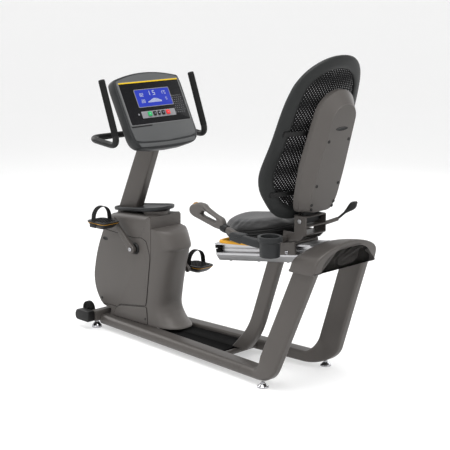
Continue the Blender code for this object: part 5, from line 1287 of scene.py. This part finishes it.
# %% [markdown]
# ## Carriage fittings and recline lever
# Bolt heads with bright sockets hold the carriage. The lever is a bent rod with a drop-shaped knob, swept with
# a radius that swells and closes.

# %% Bolts, pivot ends and lever
heads = []
for side, tag in SIDES:
    heads.append(screw((-0.508, side * 0.0786, 0.574), (0, side, 0), 0.0085, 0.0040))
    heads.append(screw((-0.430, side * 0.0786, 0.586), (0, side, 0), 0.0060, 0.0030))
piece("carriage_bolts", joined(*heads), CHROME, body="seat", slot="chrome", sharp=30)
nut_points, nut_faces = turned([(0.0, 0.0), (0.0105, 0.0), (0.0105, 0.0030), (0.0085, 0.0042), (0.0, 0.0042)],
                               (0, 0, 0), "Z", 6)
pivot_shapes = []
for side, tag in SIDES:
    placed = np.stack((nut_points[:, 0] - 0.568, side * (0.0662 + nut_points[:, 2]), nut_points[:, 1] + 0.716), -1)
    pivot_shapes.append((placed, nut_faces))
piece("pivot_nuts", joined(*pivot_shapes), STEEL, body="seat", slot="steel", sharp=30)
rod = soft_path([(-0.5900, -0.0670, 0.6920), (-0.5900, -0.1550, 0.6980), (-0.5980, -0.2000, 0.7240)], 0.020, 8)
knob_path = np.array([-0.5980, -0.2000, 0.7240]) + np.linspace(-0.004, 0.072,
                                                               20)[:, None] * np.array([-0.152, -0.855, 0.494])
knob_r = through([(0, 0.0068), (1, 0.0088), (2, 0.0118), (3, 0.0150), (4, 0.0172), (5, 0.0172), (6, 0.0120),
                  (6.3, 0.0050)], 20)[:, 1]
knob = sweep(knob_path, knob_r[:, None, None] * circle(1.0, 24) * (1.0, 0.85), (1.0, 0.0, 0.0))
sleeve = soft_path([(-0.5900, -0.0700, 0.6922), (-0.5900, -0.1300, 0.6960), (-0.5915, -0.1520, 0.6985)], 0.010, 5)
piece("recline_sleeve", tube(sleeve, 0.0088, 20), PAINT, body="recline_lever", slot="gunmetal", sharp=40)
piece("recline_handle", joined(tube(rod, 0.0054, 18), knob), BLACK, "recline_lever", sharp=45)

# %% [markdown]
# ## Backrest frame
# The backrest leans back, bows forward at the lumbar and wraps its sides forward. One function gives that
# surface; the moulded ring, the stretched weave and the cover all hang on it.

# %% The backrest's surface and outline
NET_INSET, NET_DEPTH, COVER_FACE = 0.0530, 0.0085, -0.0845
BACK_LEAN, BACK_TOP = 0.300, np.array([-0.7385, 1.417])


def back_x(y, z):
    """x = lean line + lumbar bell curve + wrap that grows with y squared."""
    lean_line = BACK_TOP[0] - BACK_LEAN * (z - BACK_TOP[1])
    lumbar = 0.035 * np.exp(-((z - 0.900) / 0.130) ** 2)
    return lean_line + lumbar + 0.048 * (np.abs(y) / 0.22) ** 2


side_line = through([(0.0, 0.7200), (0.045, 0.7205), (0.090, 0.7230), (0.128, 0.7350), (0.160, 0.7600),
                     (0.188, 0.8000),
                     (0.214, 0.8500), (0.229, 0.9100), (0.233, 0.9700), (0.233, 1.0600), (0.229, 1.1500),
                     (0.221, 1.2200),
                     (0.210, 1.2700), (0.196, 1.3100), (0.168, 1.3500), (0.132, 1.3800), (0.088, 1.4020),
                     (0.042, 1.4135),
                     (0.0, 1.4166)], 120)
back_line = even(np.concatenate((side_line, side_line[::-1][1:-1] * (-1.0, 1.0))), 220)


def back_ring(draw, depth):
    flat = inset(back_line, draw)
    return np.stack((back_x(flat[:, 0], flat[:, 1]) + depth, flat[:, 0], flat[:, 1]), -1)


ring_rows = [(0.0556, 0.0125), (0.0552, 0.0060), (NET_INSET, 0.0025), (0.0450, -0.0002), (0.0360, -0.0020),
             (0.0200, -0.0012),
             (0.0080, 0.0), (0.0025, 0.0022), (0.0003, 0.0060), (0.0, 0.0110), (0.0, 0.0160), (0.0010, 0.0200),
             (0.0040, 0.0240),
             (0.0080, 0.0260), (0.0220, 0.0240), (0.0430, 0.0170), (NET_INSET, 0.0145)]
piece("back_frame_ring", hoop([back_ring(draw, depth) for draw, depth in ring_rows]), SHELL_GREY, "back_shell",
      sharp=60)

# %% Stretched weave
weave = Graph("back_weave", 0.85, Specular_IOR_Level=0.08)
cloth_at = weave.node("ShaderNodeTexCoord", output="UV")
parts_xy = weave.node("ShaderNodeSeparateXYZ", None, {0: cloth_at})
u_wave = Wire(weave, parts_xy.socket.node.outputs[0])
v_wave = Wire(weave, parts_xy.socket.node.outputs[1])
across = weave.node("ShaderNodeMath", {"operation": "SINE"}, {0: u_wave * (2 * math.pi / 0.0140)})
upward = weave.node("ShaderNodeMath", {"operation": "SINE"}, {0: v_wave * (2 * math.pi / 0.0160)})
slow_rows = weave.node("ShaderNodeMath", {"operation": "SINE"}, {0: v_wave * (2 * math.pi / 0.0960)})
opening = across * upward + 0.10 * slow_rows
weave.set("Alpha", 1.0 - (opening > 0.84) * 0.45)
yarn = weave.noise(500.0, 2.0)
weave.set("Base Color", weave.mix(yarn, rgb(0.005, 0.005, 0.005), rgb(0.012, 0.012, 0.013)))
weave.bump(yarn, 0.3, 0.0004)
net_rows = [back_ring(NET_INSET, NET_DEPTH)]
outline = inset(back_line, NET_INSET)
middle = np.array([0.0, 1.055])
for grow in np.linspace(1.0, 0.03, 34)[1:]:
    flat = middle + (outline - middle) * grow
    net_rows.append(np.stack((back_x(flat[:, 0], flat[:, 1]) + NET_DEPTH, flat[:, 0], flat[:, 1]), -1))
net_points, net_faces = skin(net_rows, True, False)
net_faces.append(list(range(len(net_points) - len(outline), len(net_points))))
net = piece("back_net", (net_points, net_faces), weave.material, "back_mesh", sharp=180)
layer = net.data.uv_layers.new(name="cloth")
corners = np.empty(len(net.data.loops), int)
net.data.loops.foreach_get("vertex_index", corners)
where = np.empty(len(net.data.vertices) * 3)
net.data.vertices.foreach_get("co", where)
layer.data.foreach_set("uv", where.reshape(-1, 3)[corners][:, 1:].ravel())

# %% [markdown]
# ## Backrest cover
# The rear cover is lofted between two outlines, a wide one against the weave and a narrow one for its raised
# panel, both with a half-ellipse head. Small steps between them keep the crease crisp.

# %% Cover, its screws and oval plate
def cover_line(top, half_top, half_mid, bottom, half_bottom):
    """Half-ellipse head over sides that run in to a narrower foot."""
    a = np.linspace(0, math.pi, 41)
    head = np.stack((half_top * np.cos(a), top - half_top * 0.95 + half_top * 0.95 * np.sin(a)), -1)
    mid = (top + bottom) / 2 - 0.05
    foot = np.array([(-half_mid, mid), (-half_bottom, bottom + 0.055), (-half_bottom * 0.78, bottom),
                     (half_bottom * 0.78, bottom),
                     (half_bottom, bottom + 0.055), (half_mid, mid)])
    return even(soften(np.concatenate((head, foot)), 0.030, 4), 200)


def back_plane(z):
    return BACK_TOP[0] - BACK_LEAN * (z - BACK_TOP[1])


wide_line = cover_line(1.278, 0.110, 0.125, 0.7540, 0.106)
slim_line = cover_line(1.222, 0.076, 0.086, 0.7580, 0.086)
wide_line = np.roll(wide_line, -np.argmax(wide_line[:, 1]), 0)
slim_line = np.roll(slim_line, -np.argmax(slim_line[:, 1]), 0)
cover_rows = [(wide_line, 0.0015, -0.0060), (wide_line, 0.0, -0.0080), (wide_line, 0.0, -0.0310),
              (wide_line, 0.0008, -0.0335),
              (wide_line, 0.0030, -0.0352), (wide_line * 0.12 + slim_line * 0.88, 0.0, -0.0755),
              (slim_line, 0.0, -0.0795),
              (slim_line, 0.0010, -0.0822), (slim_line, 0.0032, -0.0840), (slim_line, 0.0080, COVER_FACE)]
cover_rings = []
for line, draw, depth in cover_rows:
    flat = inset(line, draw)
    cover_rings.append(np.stack((back_plane(flat[:, 1]) + depth, flat[:, 0], flat[:, 1]), -1))
piece("back_cover_shell", skin(cover_rings), SHROUD, "back_cover", sharp=30)
out_of_cover = np.array([-math.cos(math.atan(BACK_LEAN)), 0.0, -math.sin(math.atan(BACK_LEAN))])
heads = []
for y, z in ((0.062, 1.068), (0.068, 0.877), (0.070, 0.795), (0.066, 0.775)):
    for side, tag in SIDES:
        heads.append(screw((back_plane(z) - 0.0846, side * y, z), out_of_cover, 0.0072, 0.0020))
piece("cover_screws", joined(*heads), BLACK, body="backrest", slot="black_plastic", sharp=30)


def oval_plate(centre, normal, across, wide, tall):
    """Plain raised oval: an ellipse in three shrinking rings."""
    a = np.arange(48) * 2 * math.pi / 48
    normal = np.asarray(normal, float) / np.linalg.norm(normal)
    across = np.asarray(across, float)
    upward = np.cross(normal, across)
    rings = []
    for grow, out in ((1.0, -0.001), (1.0, 0.0006), (0.94, 0.0012), (0.86, 0.0006)):
        rings.append(np.asarray(centre) + grow * (wide * np.cos(a)[:, None] * across + tall * np.sin(a)[:, None] *
                                                  upward) + out * normal)
    return skin(rings)


piece("cover_oval", oval_plate((back_plane(1.118) + COVER_FACE, 0.0, 1.118), out_of_cover, (0, 1, 0), 0.038,
                               0.0085), BLACK,
      body="backrest", slot="black_plastic", sharp=40)
for side, tag in SIDES:
    piece(f"panel_oval_{tag}", oval_plate((0.668, side * 0.1003, 0.452), (0, side, 0), (1, 0, 0), 0.019, 0.0085),
          BLACK, body="frame",
          slot="black_plastic", sharp=40)

# %% [markdown]
# ## Finishes for the parts that stay as they are
# The carriage, bracket, backrest post and the drive inside the housing are shown as the CAD has them. Each
# only gets its finish.

# %% Finishes on CAD nodes
KEPT = {"seat_carriage": PAINT, "back_bracket": PAINT, "back_frame": BLACK, "drive_frame": STEEL,
        "drive_belt": RUBBER,
        "drive_pulley": STEEL, "crank_axle": STEEL, "flywheel": IRON, "brake_magnet": STEEL}
for name, finish in KEPT.items():
    nodes[name].data.materials.clear()
    nodes[name].data.materials.append(finish)
shown = sorted(name for name, obj in nodes.items() if not obj.hide_render)
print("CAD nodes shown", shown, "left over", sorted(set(shown) - set(KEPT)))
